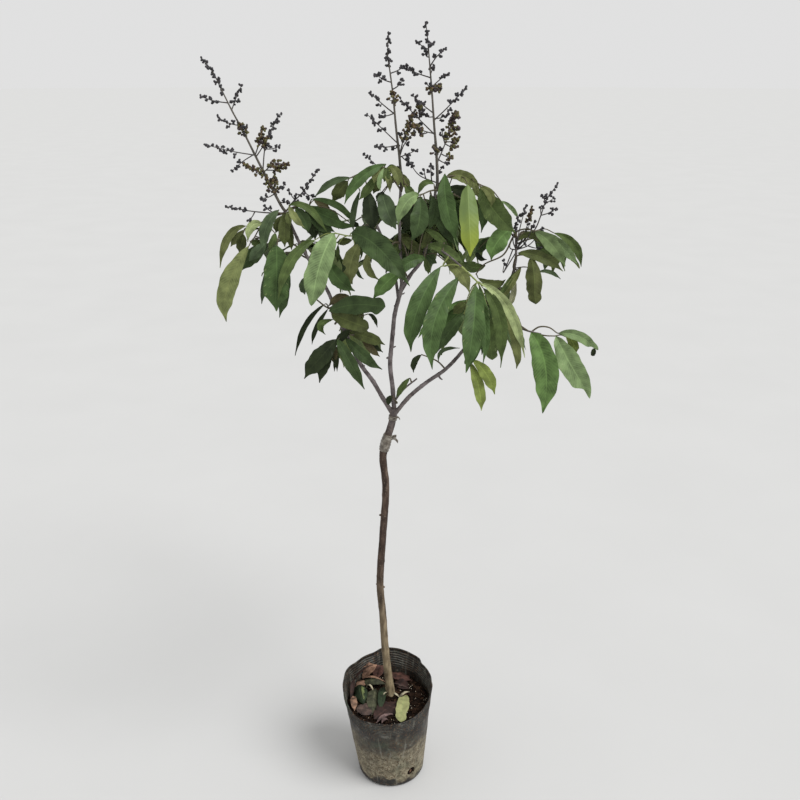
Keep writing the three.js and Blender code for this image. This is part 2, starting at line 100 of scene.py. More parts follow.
class Screen:
    """What the photograph's leaves hide: how far away the nearest one is, at each pixel."""

    def __init__(self, spread=2):
        self.nearest = np.full((PICTURE, PICTURE), np.inf)
        steps = np.arange(-spread, spread + 1)
        self.around = [(x, y) for x in steps for y in steps if x * x + y * y <= spread * spread + 1]

    def show(self, points):
        """Takes in the points of one leaf."""
        across, down, distance = picture_places(points)
        for x, y in self.around:
            columns = np.clip(across + x, 0, PICTURE - 1)
            rows = np.clip(down + y, 0, PICTURE - 1)
            np.minimum.at(self.nearest, (rows, columns), distance)

    def hides(self, points, margin=3):
        """The share of the points that lie behind a leaf of the photograph."""
        across, down, distance = picture_places(points)
        inside = (across >= 0) & (across < PICTURE) & (down >= 0) & (down < PICTURE)
        across, down = np.clip(across, 0, PICTURE - 1), np.clip(down, 0, PICTURE - 1)
        return float(np.mean(inside & (distance > self.nearest[down, across] + margin)))


# Small tools for vectors and curves
def level_direction(angle):
    """The level direction at an angle, in radians, from +X."""
    return np.array([math.cos(angle), math.sin(angle), 0])


def path_length(path):
    """The sum of the distances between a path's points."""
    return np.linalg.norm(np.diff(path, axis=0), axis=1).sum()


def unit(vector):
    """The vector at length 1."""
    vector = np.asarray(vector, float)
    return vector / max(np.linalg.norm(vector), 1e-9)


def smoothstep(value, low, high):
    """Rises smoothly from 0 at low to 1 at high."""
    share = np.clip((value - low) / (high - low), 0, 1)
    return share * share * (3 - 2 * share)


def turned(vector, axis, degrees):
    """The vector turned about an axis."""
    angle = math.radians(degrees)
    axis = unit(axis)
    along = axis * np.dot(axis, vector)
    across = vector - along
    return along + across * math.cos(angle) + np.cross(axis, vector) * math.sin(angle)


def smooth_curve(points, steps=12):
    """Points along a centripetal Catmull-Rom curve, the same curve as the frame's limbs."""
    points = [np.asarray(point, float) for point in points]
    padded = [2 * points[0] - points[1], *points, 2 * points[-1] - points[-2]]
    found = []
    for before, start, end, after in zip(padded, padded[1:], padded[2:], padded[3:]):
        gaps = [np.linalg.norm(b - a) ** 0.5 for a, b in ((before, start), (start, end), (end, after))]
        first, middle, last = [max(gap, 1e-4) for gap in gaps]
        leave = (start - before) / first - (end - before) / (first + middle) + (end - start) / middle
        arrive = (end - start) / middle - (after - start) / (middle + last) + (after - end) / last
        leave, arrive = leave * middle, arrive * middle
        for share in np.arange(steps) / steps:
            s2, s3 = share**2, share**3
            found.append(
                (2 * s3 - 3 * s2 + 1) * start + (s3 - 2 * s2 + share) * leave
                + (3 * s2 - 2 * s3) * end + (s3 - s2) * arrive
            )
    return np.array([*found, points[-1]])


def resampled(path, count):
    """The same path with `count` points at even distances."""
    path = np.asarray(path, float)
    lengths = np.concatenate([[0], np.cumsum(np.linalg.norm(np.diff(path, axis=0), axis=1))])
    wanted = np.linspace(0, lengths[-1], count)
    return np.stack([np.interp(wanted, lengths, path[:, axis]) for axis in range(3)], axis=1)


def nearest(path, point):
    """The point of a path that lies nearest to a point."""
    return path[np.argmin(np.linalg.norm(path - point, axis=1))]


# Materials
def srgb(code):
    """A hex colour as linear red, green, blue and alpha."""
    values = [int(code[i : i + 2], 16) / 255 for i in (0, 2, 4)]
    linear = [v / 12.92 if v <= 0.04045 else ((v + 0.055) / 1.055) ** 2.4 for v in values]
    return (*linear, 1.0)


def start_material(name, roughness, specular=0.5):
    """A new material, its shader, and the place on the object that patterns are laid over."""
    material = bpy.data.materials.new(name)
    material.use_nodes = True
    shader = material.node_tree.nodes["Principled BSDF"]
    shader.inputs["Roughness"].default_value = roughness
    shader.inputs["Specular IOR Level"].default_value = specular
    place = material.node_tree.nodes.new("ShaderNodeTexCoord").outputs["Object"]
    return material, shader, place


def add_noise(material, place, scale, detail=3.0, stretch=(1, 1, 1)):
    """A noise pattern's value; scale is in repeats per metre."""
    nodes, links = material.node_tree.nodes, material.node_tree.links
    mapping = nodes.new("ShaderNodeMapping")
    mapping.inputs["Scale"].default_value = stretch
    pattern = nodes.new("ShaderNodeTexNoise")
    pattern.inputs["Scale"].default_value = scale
    pattern.inputs["Detail"].default_value = detail
    links.new(place, mapping.inputs["Vector"])
    links.new(mapping.outputs["Vector"], pattern.inputs["Vector"])
    return pattern.outputs["Fac"]


def add_ramp(material, value, stops):
    """A colour ramp over a value; stops are (position, hex colour)."""
    ramp = material.node_tree.nodes.new("ShaderNodeValToRGB")
    elements = ramp.color_ramp.elements
    while len(elements) < len(stops):
        elements.new(0.5)
    for element, (position, code) in zip(elements, stops):
        element.position = position
        element.color = srgb(code)
    material.node_tree.links.new(value, ramp.inputs["Fac"])
    return ramp.outputs["Color"]


def add_mix(material, factor, first, second):
    """A colour that goes from first to second as the factor goes from 0 to 1."""
    mix = material.node_tree.nodes.new("ShaderNodeMix")
    mix.data_type = "RGBA"
    material.node_tree.links.new(factor, mix.inputs["Factor"])
    material.node_tree.links.new(first, mix.inputs["A"])
    material.node_tree.links.new(second, mix.inputs["B"])
    return mix.outputs["Result"]


def add_range(material, value, from_low, from_high, to_low, to_high):
    """A value moved from one range to another, held at the ends."""
    node = material.node_tree.nodes.new("ShaderNodeMapRange")
    ends = {"From Min": from_low, "From Max": from_high, "To Min": to_low, "To Max": to_high}
    for name, end in ends.items():
        node.inputs[name].default_value = end
    material.node_tree.links.new(value, node.inputs["Value"])
    return node.outputs["Result"]


def add_math(material, operation, *values):
    """The result of an operation on values, each a node's output or a plain number."""
    node = material.node_tree.nodes.new("ShaderNodeMath")
    node.operation = operation
    for entry, value in zip(node.inputs, values):
        if isinstance(value, float):
            entry.default_value = value
        else:
            material.node_tree.links.new(value, entry)
    return node.outputs[0]


def add_height(material, place):
    """The height in metres above the pot's underside."""
    axes = material.node_tree.nodes.new("ShaderNodeSeparateXYZ")
    material.node_tree.links.new(place, axes.inputs["Vector"])
    return axes.outputs["Z"]


def add_bump(material, shader, value, strength, distance):
    """Fine relief that follows a value; distance is its depth in metres."""
    bump = material.node_tree.nodes.new("ShaderNodeBump")
    bump.inputs["Strength"].default_value = strength
    bump.inputs["Distance"].default_value = distance
    material.node_tree.links.new(value, bump.inputs["Height"])
    material.node_tree.links.new(bump.outputs["Normal"], shader.inputs["Normal"])


def add_spots(material, value, bounds, strength, codes, colour):
    """Lays a second colour over the first, from the lower of two bounds of a pattern's value on."""
    spots = add_range(material, value, *bounds, 0, strength)
    over = add_ramp(material, spots, ((0.0, codes[0]), (1.0, codes[1])))
    return add_mix(material, spots, colour, over)


def set_colour(material, shader, colour):
    """Makes a colour the material's own."""
    material.node_tree.links.new(colour, shader.inputs["Base Color"])


def shifted(code, factor):
    """A hex colour made lighter or darker by a factor."""
    values = [int(code[i : i + 2], 16) for i in (0, 2, 4)]
    return "".join(f"{min(255, round(value * factor)):02x}" for value in values)


def add_mark(material):
    """The value that a mesh carries at each point: veins on a leaf, or ribs on the pot."""
    mark = material.node_tree.nodes.new("ShaderNodeAttribute")
    mark.attribute_name = "mark"
    return mark.outputs["Fac"]


def add_veins(material, patches, colour, veins):
    """Fine pale lines over a leaf: its mark runs from 0 at the base to 1 at the tip, along the veins."""
    wave = add_math(material, "PINGPONG", add_mark(material), 0.5 / VEIN_LINES)
    line = add_range(material, wave, 0, 0.25 / VEIN_LINES, VEIN_STRENGTH, 0)
    return add_mix(material, line, colour, add_ramp(material, patches, ((0.0, veins), (1.0, veins))))


GRAIN_SCALE = 1400  # repeats of the finest grain in a metre
GRAIN_DEPTH = 0.00025  # metres
ROUGHNESS_PLAY = 0.06


def soft_material(name, code, roughness, contrast=0.12, patch=70, specular=0.5, veins=None):
    """A plant surface: patches of a lighter and a darker shade, with a fine grain and maybe veins."""
    material, shader, place = start_material(name, roughness, specular)
    patches = add_noise(material, place, patch, 5)
    stops = ((0.3, shifted(code, 1 - contrast)), (0.7, shifted(code, 1 + contrast)))
    colour = add_ramp(material, patches, stops)
    if veins:
        colour = add_veins(material, patches, colour, veins)
    set_colour(material, shader, colour)
    add_bump(material, shader, add_noise(material, place, GRAIN_SCALE, 2), 0.25, GRAIN_DEPTH)
    rough = add_range(material, patches, 0.3, 0.7, roughness - ROUGHNESS_PLAY, roughness + ROUGHNESS_PLAY)
    material.node_tree.links.new(rough, shader.inputs["Roughness"])
    return material


# Leaf colours by tone: upper side and underside. The light grey-green of mist, sage and pale is partly the
# leaf's own colour and partly a painted sheen of the sky.
Tone = namedtuple("Tone", "top under")
TONES = {
    "green": Tone("415430", "616e46"),
    "bright": Tone("556d3e", "66734a"),
    "mist": Tone("64754e", "6f7c5c"),
    "deep": Tone("3a492c", "434f36"),
    "blue": Tone("424f37", "46543c"),
    # This tone is painted shade: the near-black of green leaflets that lie in deep shade inside the crown.
    "painted_shade": Tone("272f1d", "2c3424"),
    "sage": Tone("6e8158", "7c8764"),
    "pale": Tone("95a171", "848f6a"),
    "moss": Tone("4a5832", "5f6b3e"),
    "olive": Tone("646a42", "70784c"),
    "bronze": Tone("4a512f", "494e2e"),
    "lime": Tone("6f7b40", "7a8446"),
    "brown": Tone("4d4832", "48422e"),
    "straw": Tone("a3a484", "8e9070"),
}
RIB_SHADE = 1.22  # how much lighter the midrib is than the blade
VEIN_SHADE = 1.25
VEIN_LINES = 27
VEIN_STRENGTH = 0.4
LEAF_CONTRAST = 0.22
TOP_ROUGHNESS = 0.42
UNDER_ROUGHNESS = 0.65
RIB_ROUGHNESS = 0.5
LEAF_SPECULAR = 0.1
TURNING_SPAN = (0.96, 1.03)  # metres up the turning leaf, from its yellow end to its fresh one


def turning_material(name, fresh, yellow):
    """A leaf that turns yellow from the tip upwards."""
    material, shader, place = start_material(name, TOP_ROUGHNESS, LEAF_SPECULAR)
    uneven = add_math(
        material, "MULTIPLY_ADD", add_noise(material, place, 60), 0.03, add_height(material, place))
    share = add_range(material, uneven, *TURNING_SPAN, 0, 1)
    colour = add_ramp(material, share, ((0.0, yellow), (1.0, fresh)))
    set_colour(material, shader, colour)
    return material


def leaf_materials():
    """For each tone the materials of a leaflet's upper side, underside and midrib."""
    made = {}
    for name, tone in TONES.items():
        sides = [
            soft_material(
                f"leaf_{name}_{part}", code, roughness, LEAF_CONTRAST, specular=LEAF_SPECULAR,
                veins=shifted(code, VEIN_SHADE))
            for part, code, roughness in zip(("top", "under"), tone, (TOP_ROUGHNESS, UNDER_ROUGHNESS))]
        rib_code = shifted(tone.top, RIB_SHADE)
        rib = soft_material(f"leaf_{name}_rib", rib_code, RIB_ROUGHNESS, specular=LEAF_SPECULAR)
        made[name] = (*sides, rib)
    turning = turning_material("leaf_turning", "6a7c4a", "909c34")
    made["turning"] = (turning, turning, turning_material("leaf_turning_rib", "7b8d58", "9aa742"))
    return made


BARK_SPAN = (0.14, 0.74)  # metres up the trunk, from its oldest bark to its youngest


def bark_material():
    """Cream-grey at the foot, brown above it and purple-grey on the boughs, with fissures and specks."""
    material, shader, place = start_material("bark", 0.85, 0.3)
    share = add_range(material, add_height(material, place), *BARK_SPAN, 0, 1)
    grain = add_noise(material, place, 130, 5, (1, 1, 0.3))
    old = add_ramp(material, grain, ((0.32, "564b39"), (0.5, "807259"), (0.7, "a69879")))
    middle = add_ramp(material, grain, ((0.32, "251b16"), (0.5, "41332b"), (0.7, "625247")))
    young = add_ramp(material, add_noise(material, place, 90, 4), ((0.3, "484141"), (0.7, "827a7a")))
    low = add_ramp(
        material, share,
        ((0.02, "000000"), (0.1, "606060"), (0.22, "a0a0a0"), (0.34, "d8d8d8"), (0.46, "ffffff")))
    high = add_ramp(material, share, ((0.8, "000000"), (1.0, "ffffff")))
    colour = add_mix(material, high, add_mix(material, low, old, middle), young)
    specks = add_noise(material, place, 620, 1)
    colour = add_spots(material, specks, (0.66, 0.72), 0.6, ("857b6c", "9a9182"), colour)
    set_colour(material, shader, colour)
    add_bump(material, shader, add_noise(material, place, 500, 6, (1, 1, 0.25)), 0.5, 0.0006)
    return material


def film_material():
    """Clouded plastic film, stained brown where sap and dust have got in."""
    material, shader, place = start_material("film", 0.28)
    stain = add_noise(material, place, 150, 3)
    colour = add_ramp(material, stain, ((0.32, "8f897e"), (0.5, "645c51"), (0.68, "40362c")))
    set_colour(material, shader, colour)
    shader.inputs["Coat Weight"].default_value = 0.4
    add_bump(material, shader, add_noise(material, place, 700, 3), 0.4, 0.0004)
    return material


DUST_SPAN = (0.049, 0.21)  # metres up the pot, with the ragged edge's play added


def dust_band(material, place):
    """How dusty the pot's wall is: clean at the very foot, dusty above it and clean again higher up."""
    ragged = add_math(
        material, "MULTIPLY_ADD", add_noise(material, place, 34, 10, (1, 1, 1.3)), 0.085,
        add_height(material, place))
    return add_ramp(
        material, add_range(material, ragged, *DUST_SPAN, 0, 1),
        ((0.0, "000000"), (0.05, "303030"), (0.11, "e6e6e6"), (0.4, "c8c8c8"), (0.56, "707070"),
         (0.72, "202020")))


def pot_material():
    """Black plastic gone grey: dust in its ribs and on its lower half, earth, scratches and algae."""
    material, shader, place = start_material("pot_plastic", 0.62, 0.35)
    plastic = add_ramp(
        material, add_noise(material, place, 75, 6),
        ((0.36, "080808"), (0.5, "121211"), (0.6, "252623"), (0.71, "5c5c56")))
    dust = add_ramp(
        material, add_noise(material, place, 120, 7), ((0.3, "625a48"), (0.5, "8f866f"), (0.7, "b0a78d")))
    band = dust_band(material, place)
    colour = add_mix(material, band, plastic, dust)
    grooves = add_range(material, add_mark(material), 0.1, 0.9, 0, 0.8)
    broken = add_range(material, add_noise(material, place, 70, 4), 0.38, 0.6, 0.1, 1)
    line_colour = add_ramp(material, add_noise(material, place, 40), ((0.3, "55564f"), (0.7, "8b8a80")))
    colour = add_mix(material, add_math(material, "MULTIPLY", grooves, broken), colour, line_colour)
    specks = add_range(material, add_noise(material, place, 380, 4), 0.53, 0.6, 0, 0.85)
    earth = add_ramp(material, add_noise(material, place, 300, 2), ((0.4, "2c2119"), (0.6, "58432f")))
    colour = add_mix(material, specks, colour, earth)
    scratches = add_noise(material, place, 150, 3, (1, 1, 0.1))
    colour = add_spots(material, scratches, (0.6, 0.72), 0.4, ("7d7c72", "9a998e"), colour)
    algae = add_noise(material, place, 19, 4)
    colour = add_spots(material, algae, (0.56, 0.7), 0.4, ("2c3a2a", "38503a"), colour)
    set_colour(material, shader, colour)
    rough = add_range(material, band, 0, 1, 0.5, 0.85)
    material.node_tree.links.new(rough, shader.inputs["Roughness"])
    add_bump(material, shader, add_noise(material, place, 260, 5), 0.35, 0.0005)
    return material


def soil_material():
    """Dark moist earth with paler clods."""
    material, shader, place = start_material("soil", 0.95, 0.1)
    clods = add_ramp(
        material, add_noise(material, place, 110, 6),
        ((0.3, "080504"), (0.5, "150e09"), (0.68, "251910"), (0.8, "3b2c20")),
    )
    set_colour(material, shader, clods)
    add_bump(material, shader, add_noise(material, place, 600, 6), 0.8, 0.001)
    return material


# A sheaf gathers points and faces, and becomes one mesh object
class Sheaf:
    def __init__(self):
        self.points = []
        self.faces = []
        self.face_materials = []
        self.materials = []
        self.marks = []
        self.count = 0

    def add(self, points, faces, materials, marks=None):
        """Adds faces with one material each; `materials` is a list, or one material for all."""
        if not isinstance(materials, list):
            materials = [materials] * len(faces)
        for material in materials:
            if material not in self.materials:
                self.materials.append(material)
        self.points.extend(map(tuple, np.asarray(points, float) * MM))
        self.faces.extend([corner + self.count for corner in face] for face in faces)
        places = {material: index for index, material in enumerate(self.materials)}
        self.face_materials.extend(places[material] for material in materials)
        self.marks.extend([0.0] * len(points) if marks is None else marks)
        self.count += len(points)

    def finish(self, name, node, slot, sharp=50):
        """Makes the object: it rides on the root body and stands for a node of the frame."""
        mesh = bpy.data.meshes.new(name)
        mesh.from_pydata(self.points, [], self.faces)
        for material in self.materials:
            mesh.materials.append(material)
        mesh.polygons.foreach_set("material_index", self.face_materials)
        mesh.polygons.foreach_set("use_smooth", [True] * len(mesh.polygons))
        mesh.update()
        if any(self.marks):
            mesh.attributes.new("mark", "FLOAT", "POINT").data.foreach_set("value", self.marks)
        mesh.set_sharp_from_angle(angle=math.radians(sharp))
        piece = bpy.data.objects.new(name, mesh)
        bpy.context.scene.collection.objects.link(piece)
        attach(piece, "root")
        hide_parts(node)
        return piece


def ring_faces(rows, columns):
    """Quads over a grid of points whose last column joins the first."""
    faces = []
    for row in range(rows - 1):
        start, above = row * columns, (row + 1) * columns
        for column in range(columns):
            beside = (column + 1) % columns
            faces.append((start + column, start + beside, above + beside, above + column))
    return faces


def closed_grid(rows, columns):
    """The faces of a closed tube of point rings, with a flat face over each end."""
    ends = [tuple(reversed(range(columns))), tuple(range((rows - 1) * columns, rows * columns))]
    return ring_faces(rows, columns) + ends


def tube(sheaf, path, radius_at, sides, material, relief=None):
    """A closed tube along a path. radius_at(share) is its radius; relief(share, angle, point) is added."""
    path = np.asarray(path, float)
    count = len(path)
    tangents = np.gradient(path, axis=0)
    side = unit(np.cross(tangents[0], UP if abs(unit(tangents[0])[2]) < 0.9 else (0, 1, 0)))
    angles = np.arange(sides) * 2 * math.pi / sides
    points = []
    for index, (centre, tangent) in enumerate(zip(path, tangents)):
        tangent = unit(tangent)
        side = unit(side - tangent * np.dot(side, tangent))
        other = np.cross(tangent, side)
        share = index / (count - 1)
        for angle in angles:
            outward = side * math.cos(angle) + other * math.sin(angle)
            radius = radius_at(share)
            if relief:
                radius += relief(share, angle, centre + outward * radius)
            points.append(centre + outward * radius)
    sheaf.add(points, closed_grid(count, sides), material)


def tapered(start, end):
    """A radius that goes evenly from start to end along a tube."""
    return lambda share: start + (end - start) * share


# The wood: the same routes as the frame's limbs, with bark relief and leaf scars
SOIL_TOP = 143
FORK_HEIGHT = 700
TRUNK_ROUTE = (
    (-1, 16, 143.3), (-10, 14, 243), (-14, 12, 318), (-18, 10, 374), (-12, 6, 478),
    (-7, 3, 562), (-11, 1, 618), (-6, 0, 644), (3, 0, 675), (7, 0, FORK_HEIGHT),
)
Limb = namedtuple("Limb", "route start end")
LIMBS = {
    "leader": Limb(
        ((7, 0, 697), (4.4, 0, 735), (0.9, 0, 772), (4.4, 0, 815), (8, 0, 851), (15, 0, 880), (19, 0, 897)),
        4.2, 3.6),
    "left_bough": Limb(
        ((5, 0, 690), (-9.5, 0, 715), (-26.5, 0, 746), (-45, 3, 772), (-68, 5, 824), (-95, 10, 890),
         (-130, 14, 951), (-152, 15, 1003)), 4.2, 2.4),
    "right_bough": Limb(
        ((8, 0, 691), (30, 0, 719), (57, 4, 741.5), (86, 8, 761.5), (111, 10, 789), (153, 15, 847),
         (187, 22, 913), (189, 25, 965)), 4.0, 1.9),
    "fork_twig": Limb(((7, 0, 712), (22, -3, 733), (42, -8, 752)), 2.0, 1.4),
    "centre_left_shoot": Limb(((18.6, 0, 894), (16, -2, 960), (15, -4, 1005), (17, -5, 1037)), 3.1, 2.3),
    "centre_right_shoot": Limb(
        ((19, 0, 894), (31, -2, 912), (48, -6, 935), (58, -10, 975), (67, -15, 1040)), 3.1, 2.3),
    "back_left_shoot": Limb(((14, 0, 872), (8, 30, 905), (-8, 70, 945), (-25, 105, 980)), 2.8, 2.0),
    "back_right_shoot": Limb(((17, 0, 886), (40, 35, 915), (75, 75, 950), (105, 105, 975)), 2.8, 2.0),
    "back_low_shoot": Limb(((131, 12, 816), (138, 35, 838), (145, 70, 865)), 2.2, 1.6),
    "front_stalk": Limb(((56, -9, 967), (66, -40, 962), (84, -75, 955), (100, -98, 945)), 1.8, 1.3),
    "far_right_stalk": Limb(((145, 13, 836), (175, 2, 838), (205, -14, 831), (227, -20, 827)), 1.7, 1.0),
}
RING_STEP = 1.7  # along the bark, from one ring of points to the next
SCAR_STEP = 31  # from one leaf scar to the next
SCAR_TURN = 2.4  # radians round the limb from one leaf scar to the next
SLIMMER = 0.86  # the bark is a little thinner than the frame's plain limbs, as the relief adds to it
SHAFT_FOOT = 6.3  # the trunk's radius at the soil, without its flare
SHAFT_TOP = 5.6
ROOT_FLARE = 2.3
ROOT_FLARE_REACH = 45
GRAFT_SWELL = 1.6
GRAFT_HEIGHT = 640
GRAFT_REACH = 14


def trunk_radius(height):
    """The trunk thins upwards, flares at the soil and swells at the graft."""
    share = (height - SOIL_TOP) / (FORK_HEIGHT - SOIL_TOP)
    shaft = SHAFT_FOOT + (SHAFT_TOP - SHAFT_FOOT) * share
    flare = ROOT_FLARE * math.exp(-(height - SOIL_TOP) / ROOT_FLARE_REACH)
    graft = GRAFT_SWELL * math.exp(-(((height - GRAFT_HEIGHT) / GRAFT_REACH) ** 2))
    return shaft + flare + graft


def bark_relief(length, radius, depth):
    """Fissures along the limb, a fine grain, and a swollen scar where each old leaf stood."""
    def relief(share, angle, point):
        fissures = noise.noise(Vector((point[0] * 0.45, point[1] * 0.45, point[2] * 0.055)))
        grain = noise.noise(Vector((point[0] * 1.3, point[1] * 1.3, point[2] * 0.8)))
        along = share * length
        scar = round(along / SCAR_STEP)
        turn = (angle - scar * SCAR_TURN + math.pi) % (2 * math.pi) - math.pi
        offset = (along - scar * SCAR_STEP) / 2.6
        knot = math.exp(-offset * offset) * (0.35 + 0.65 * math.exp(-turn * turn * 1.6))
        return depth * (0.9 * fissures + 0.4 * grain) + 0.13 * radius * knot
    return relief


# Buds, cut stubs and old joints that stand out of the wood: pixel, depth, direction in the
# picture, length and radius in millimetres
Knob = namedtuple("Knob", "place depth heading length radius")
KNOBS = {
    "trunk": (
        Knob((388, 497), 4, (1, 0.1), 1.6, 2.4), Knob((380, 515), 4, (-1, 0.1), 1.2, 2.6),
        Knob((379, 555), 6, (-1, 0.2), 1.4, 2.6), Knob((384, 587), 9, (1, 0.1), 1.2, 2.8),
        Knob((377, 584), 9, (-1, 0.2), 1.4, 2.8), Knob((388.5, 660), 12, (0.3, 0), 0.6, 1.0),
        Knob((390, 672), 12, (0.2, 0), 0.6, 1.0), Knob((386, 636), 11, (0.3, 0), 0.6, 0.9)),
    "leader": (
        Knob((394, 347), 0, (1, 0.5), 3.4, 1.5), Knob((387.4, 358), 0, (-1, 0), 1.6, 2.4),
        Knob((391, 372), 0, (1, 0), 1.0, 2.4), Knob((393, 327), 0, (1, 0.6), 1.4, 1.6),
        Knob((395, 306), 0, (-1, 0.3), 1.6, 2.0), Knob((403, 294), 0, (1, 0.8), 3.6, 1.2),
        Knob((393, 394), -3, (-0.4, 0.4), 1.2, 2.6)),
    "left_bough": (
        Knob((364, 366), 0, (-0.6, 0.8), 3.2, 2.2), Knob((375, 381), 0, (0.8, 0.3), 1.0, 1.7),
        Knob((346, 333), 3, (0.8, 0.2), 2.6, 2.6), Knob((333, 318), 4, (-1, 0.2), 1.4, 1.8)),
    "right_bough": (
        Knob((440.5, 378.5), 0, (1, -0.5), 3.6, 1.7), Knob((430, 381), 0, (-0.3, 1), 1.2, 1.5),
        Knob((451, 365.5), 5, (-0.8, 0.8), 2.2, 1.6), Knob((462, 351), 7, (0.7, 0.5), 1.8, 2.0),
        Knob((418.5, 388.5), 0, (0.5, -0.8), 1.0, 1.5)),
}


def add_knobs(sheaf, knobs, path, material):
    """Short blunt pegs that start inside the wood and lean the way they show in the picture."""
    for knob in knobs:
        spot = photo_point(*knob.place, knob.depth)
        core = nearest(path, spot)
        heading = unit((knob.heading[0], -0.35, knob.heading[1]))
        end = spot + heading * knob.length
        peg = resampled((core, spot, end - heading * knob.radius * 0.3, end), 9)
        tube(sheaf, peg, lambda share: knob.radius * (1 - 0.55 * share**3), 9, material)


def build_limb(name, path, radius_at, sides, bark, relief):
    """The bark of the trunk or of one limb, with its knobs; returns its path."""
    sheaf = Sheaf()
    tube(sheaf, path, radius_at, sides, bark, relief)
    add_knobs(sheaf, KNOBS.get(name, ()), path, bark)
    sheaf.finish(f"{name}_bark", name, "bark")
    return path


def build_trunk(bark):
    """The trunk, whose radius follows its height."""
    height = FORK_HEIGHT - SOIL_TOP
    count = int(height / RING_STEP)
    path = resampled(smooth_curve(TRUNK_ROUTE), count)

    def radius_at(share):
        return trunk_radius(path[round(share * (count - 1))][2])

    return build_limb("trunk", path, radius_at, 36, bark, bark_relief(height, 4, 0.5))


def build_bark(bark):
    """The trunk and every limb with their bark; returns each one's path."""
    paths = {"trunk": build_trunk(bark)}
    for name, limb in LIMBS.items():
        path = smooth_curve(limb.route)
        length = path_length(path)
        path = resampled(path, int(length / RING_STEP))
        start, end = limb.start * SLIMMER, limb.end * SLIMMER
        relief = bark_relief(length, start, 0.1 * start)
        paths[name] = build_limb(name, path, tapered(start, end), 18, bark, relief)
    return paths


# Leaflets: a closed thin blade with a keeled midrib, slanting veins and waved margins
VEINS = 14
VEIN_HALF = 0.0028  # share of the length
VEIN_SLANT = 0.6  # how far the veins run forward between midrib and margin
COLUMNS = np.array([-1, -0.74, -0.4, -0.055, 0.055, 0.4, 0.74, 1])
BLADE_THICKNESS = 0.35
LARGEST_LEAFLET = 41  # across
SWELL = 0.3  # how far the blade puffs up between its veins
NARROWEST = 0.35  # half the blade's width at its two ends
KEEL = 0.5  # how far the midrib stands out below
TWIST = 15  # degrees, at most, from base to tip
WAVES = (2.0, 3.4)  # of a margin, along the blade
RIPPLE_WIDTH = 0.045  # how much the waves widen and narrow the blade, as a share
RIPPLE_LIFT = 0.035  # how much they lift its margins, as a share of the width
CURL = 0.16  # how far the margins bend down, as a share of the half width
HOOK = 0.12  # how far a tip bends sideways at most, as a share of the width


def vein_rows():
    """Shares of the length for the rows of points: two at each vein, and one between two veins."""
    places = 0.05 + 0.9 * np.arange(VEINS) / (VEINS - 1)
    rows = [0.0]
    for index, place in enumerate(places):
        rows += [place - VEIN_HALF, place + VEIN_HALF]
        if index + 1 < VEINS:
            rows.append((place + places[index + 1]) / 2)
    return np.array([*rows, 1.0])


ROWS = vein_rows()
ROW_RELIEF = np.array([0, *[-1, -1, 1] * (VEINS - 1), -1, -1, 0], float)


def outline(share, tip_width, fullness):
    """A leaflet's half width along its length: oblong, wedged at the base, drawn out at the tip."""
    body = np.clip(1 - np.abs(2 * np.clip(share, 0, 1) - 1) ** fullness, 0, 1) ** 0.8
    return body * (1 - (1 - tip_width) * smoothstep(share, 0.75, 0.97))


Shape = namedtuple(
    "Shape", "spine facing width fold bites tip_width fullness", defaults=(27, (), 0.38, 1.9))


def blade_axes(shape, share, twist):
    """Along a blade's bent and twisted spine: its middle, its upward and its sideways direction."""
    base, middle, tip = [np.asarray(point, float) for point in shape.spine]
    control = 2 * middle - (base + tip) / 2
    part = share[..., None]
    spot = (1 - part) ** 2 * base + 2 * part * (1 - part) * control + part**2 * tip
    along = 2 * (1 - part) * (control - base) + 2 * part * (tip - control)
    along /= np.maximum(np.linalg.norm(along, axis=2, keepdims=True), 1e-9)
    normal = shape.facing - along * (along @ shape.facing)[..., None]
    normal /= np.maximum(np.linalg.norm(normal, axis=2, keepdims=True), 1e-9)
    sideways = np.cross(along, normal)
    turn = part * math.radians(twist)
    return (
        spot, normal * np.cos(turn) + sideways * np.sin(turn),
        sideways * np.cos(turn) - normal * np.sin(turn))


def blade_halves(shape, edge):
    """The half width at each point of a blade, less what is bitten away."""
    half = outline(edge, shape.tip_width, shape.fullness) * shape.width / 2
    half = np.repeat(half[:, None], len(COLUMNS), axis=1)
    for side, place, depth, spread in shape.bites:
        bitten = 1 - depth * np.exp(-(((edge - place) / spread) ** 4))
        half[:, COLUMNS * side > 0] *= bitten[:, None]
    return half + NARROWEST


def blade_ripple(share, rng):
    """The waves of a blade's two margins."""
    waves, phase = rng.uniform(*WAVES), rng.uniform(0, 2 * math.pi, 2)
    ripple = np.sin(2 * math.pi * waves * share + np.where(COLUMNS > 0, phase[0], phase[1]))
    return ripple + 0.5 * np.sin(2 * math.pi * waves * 2.3 * share + phase[1] * 2)


def blade_surface(shape, rng):
    """The upper and lower points of one leaflet. Its spine is (base, middle, tip), its upper side
    turns towards facing, and bites are (side, share of the length, depth, spread)."""
    edge = ROWS + VEIN_SLANT * ROWS * (1 - ROWS)
    across = np.abs(COLUMNS)
    share = ROWS[:, None] + (edge - ROWS)[:, None] * across[None, :] ** 1.1
    spot, normal, sideways = blade_axes(shape, share, rng.uniform(-TWIST, TWIST))
    ripple = blade_ripple(share, rng)
    half = blade_halves(shape, edge) * (1 + RIPPLE_WIDTH * ripple)
    angle = math.radians(shape.fold) * (1 - 0.35 * share)
    swell = SWELL * ROW_RELIEF[:, None] * np.sin(math.pi * across**0.8)
    lift = across * half * np.sin(angle) - CURL * half * across**2
    lift += RIPPLE_LIFT * shape.width * ripple * across**2 + swell
    hook = rng.uniform(-HOOK, HOOK) * shape.width * smoothstep(share, 0.8, 1)
    offset = COLUMNS * half * np.cos(angle) + hook
    top = spot + sideways * offset[..., None] + normal * lift[..., None]
    keel = np.where(across < 0.1, KEEL, 0.0) * (1 - 0.7 * share)
    under = top - normal * (BLADE_THICKNESS + keel)[..., None]
    return top.reshape(-1, 3), under.reshape(-1, 3)


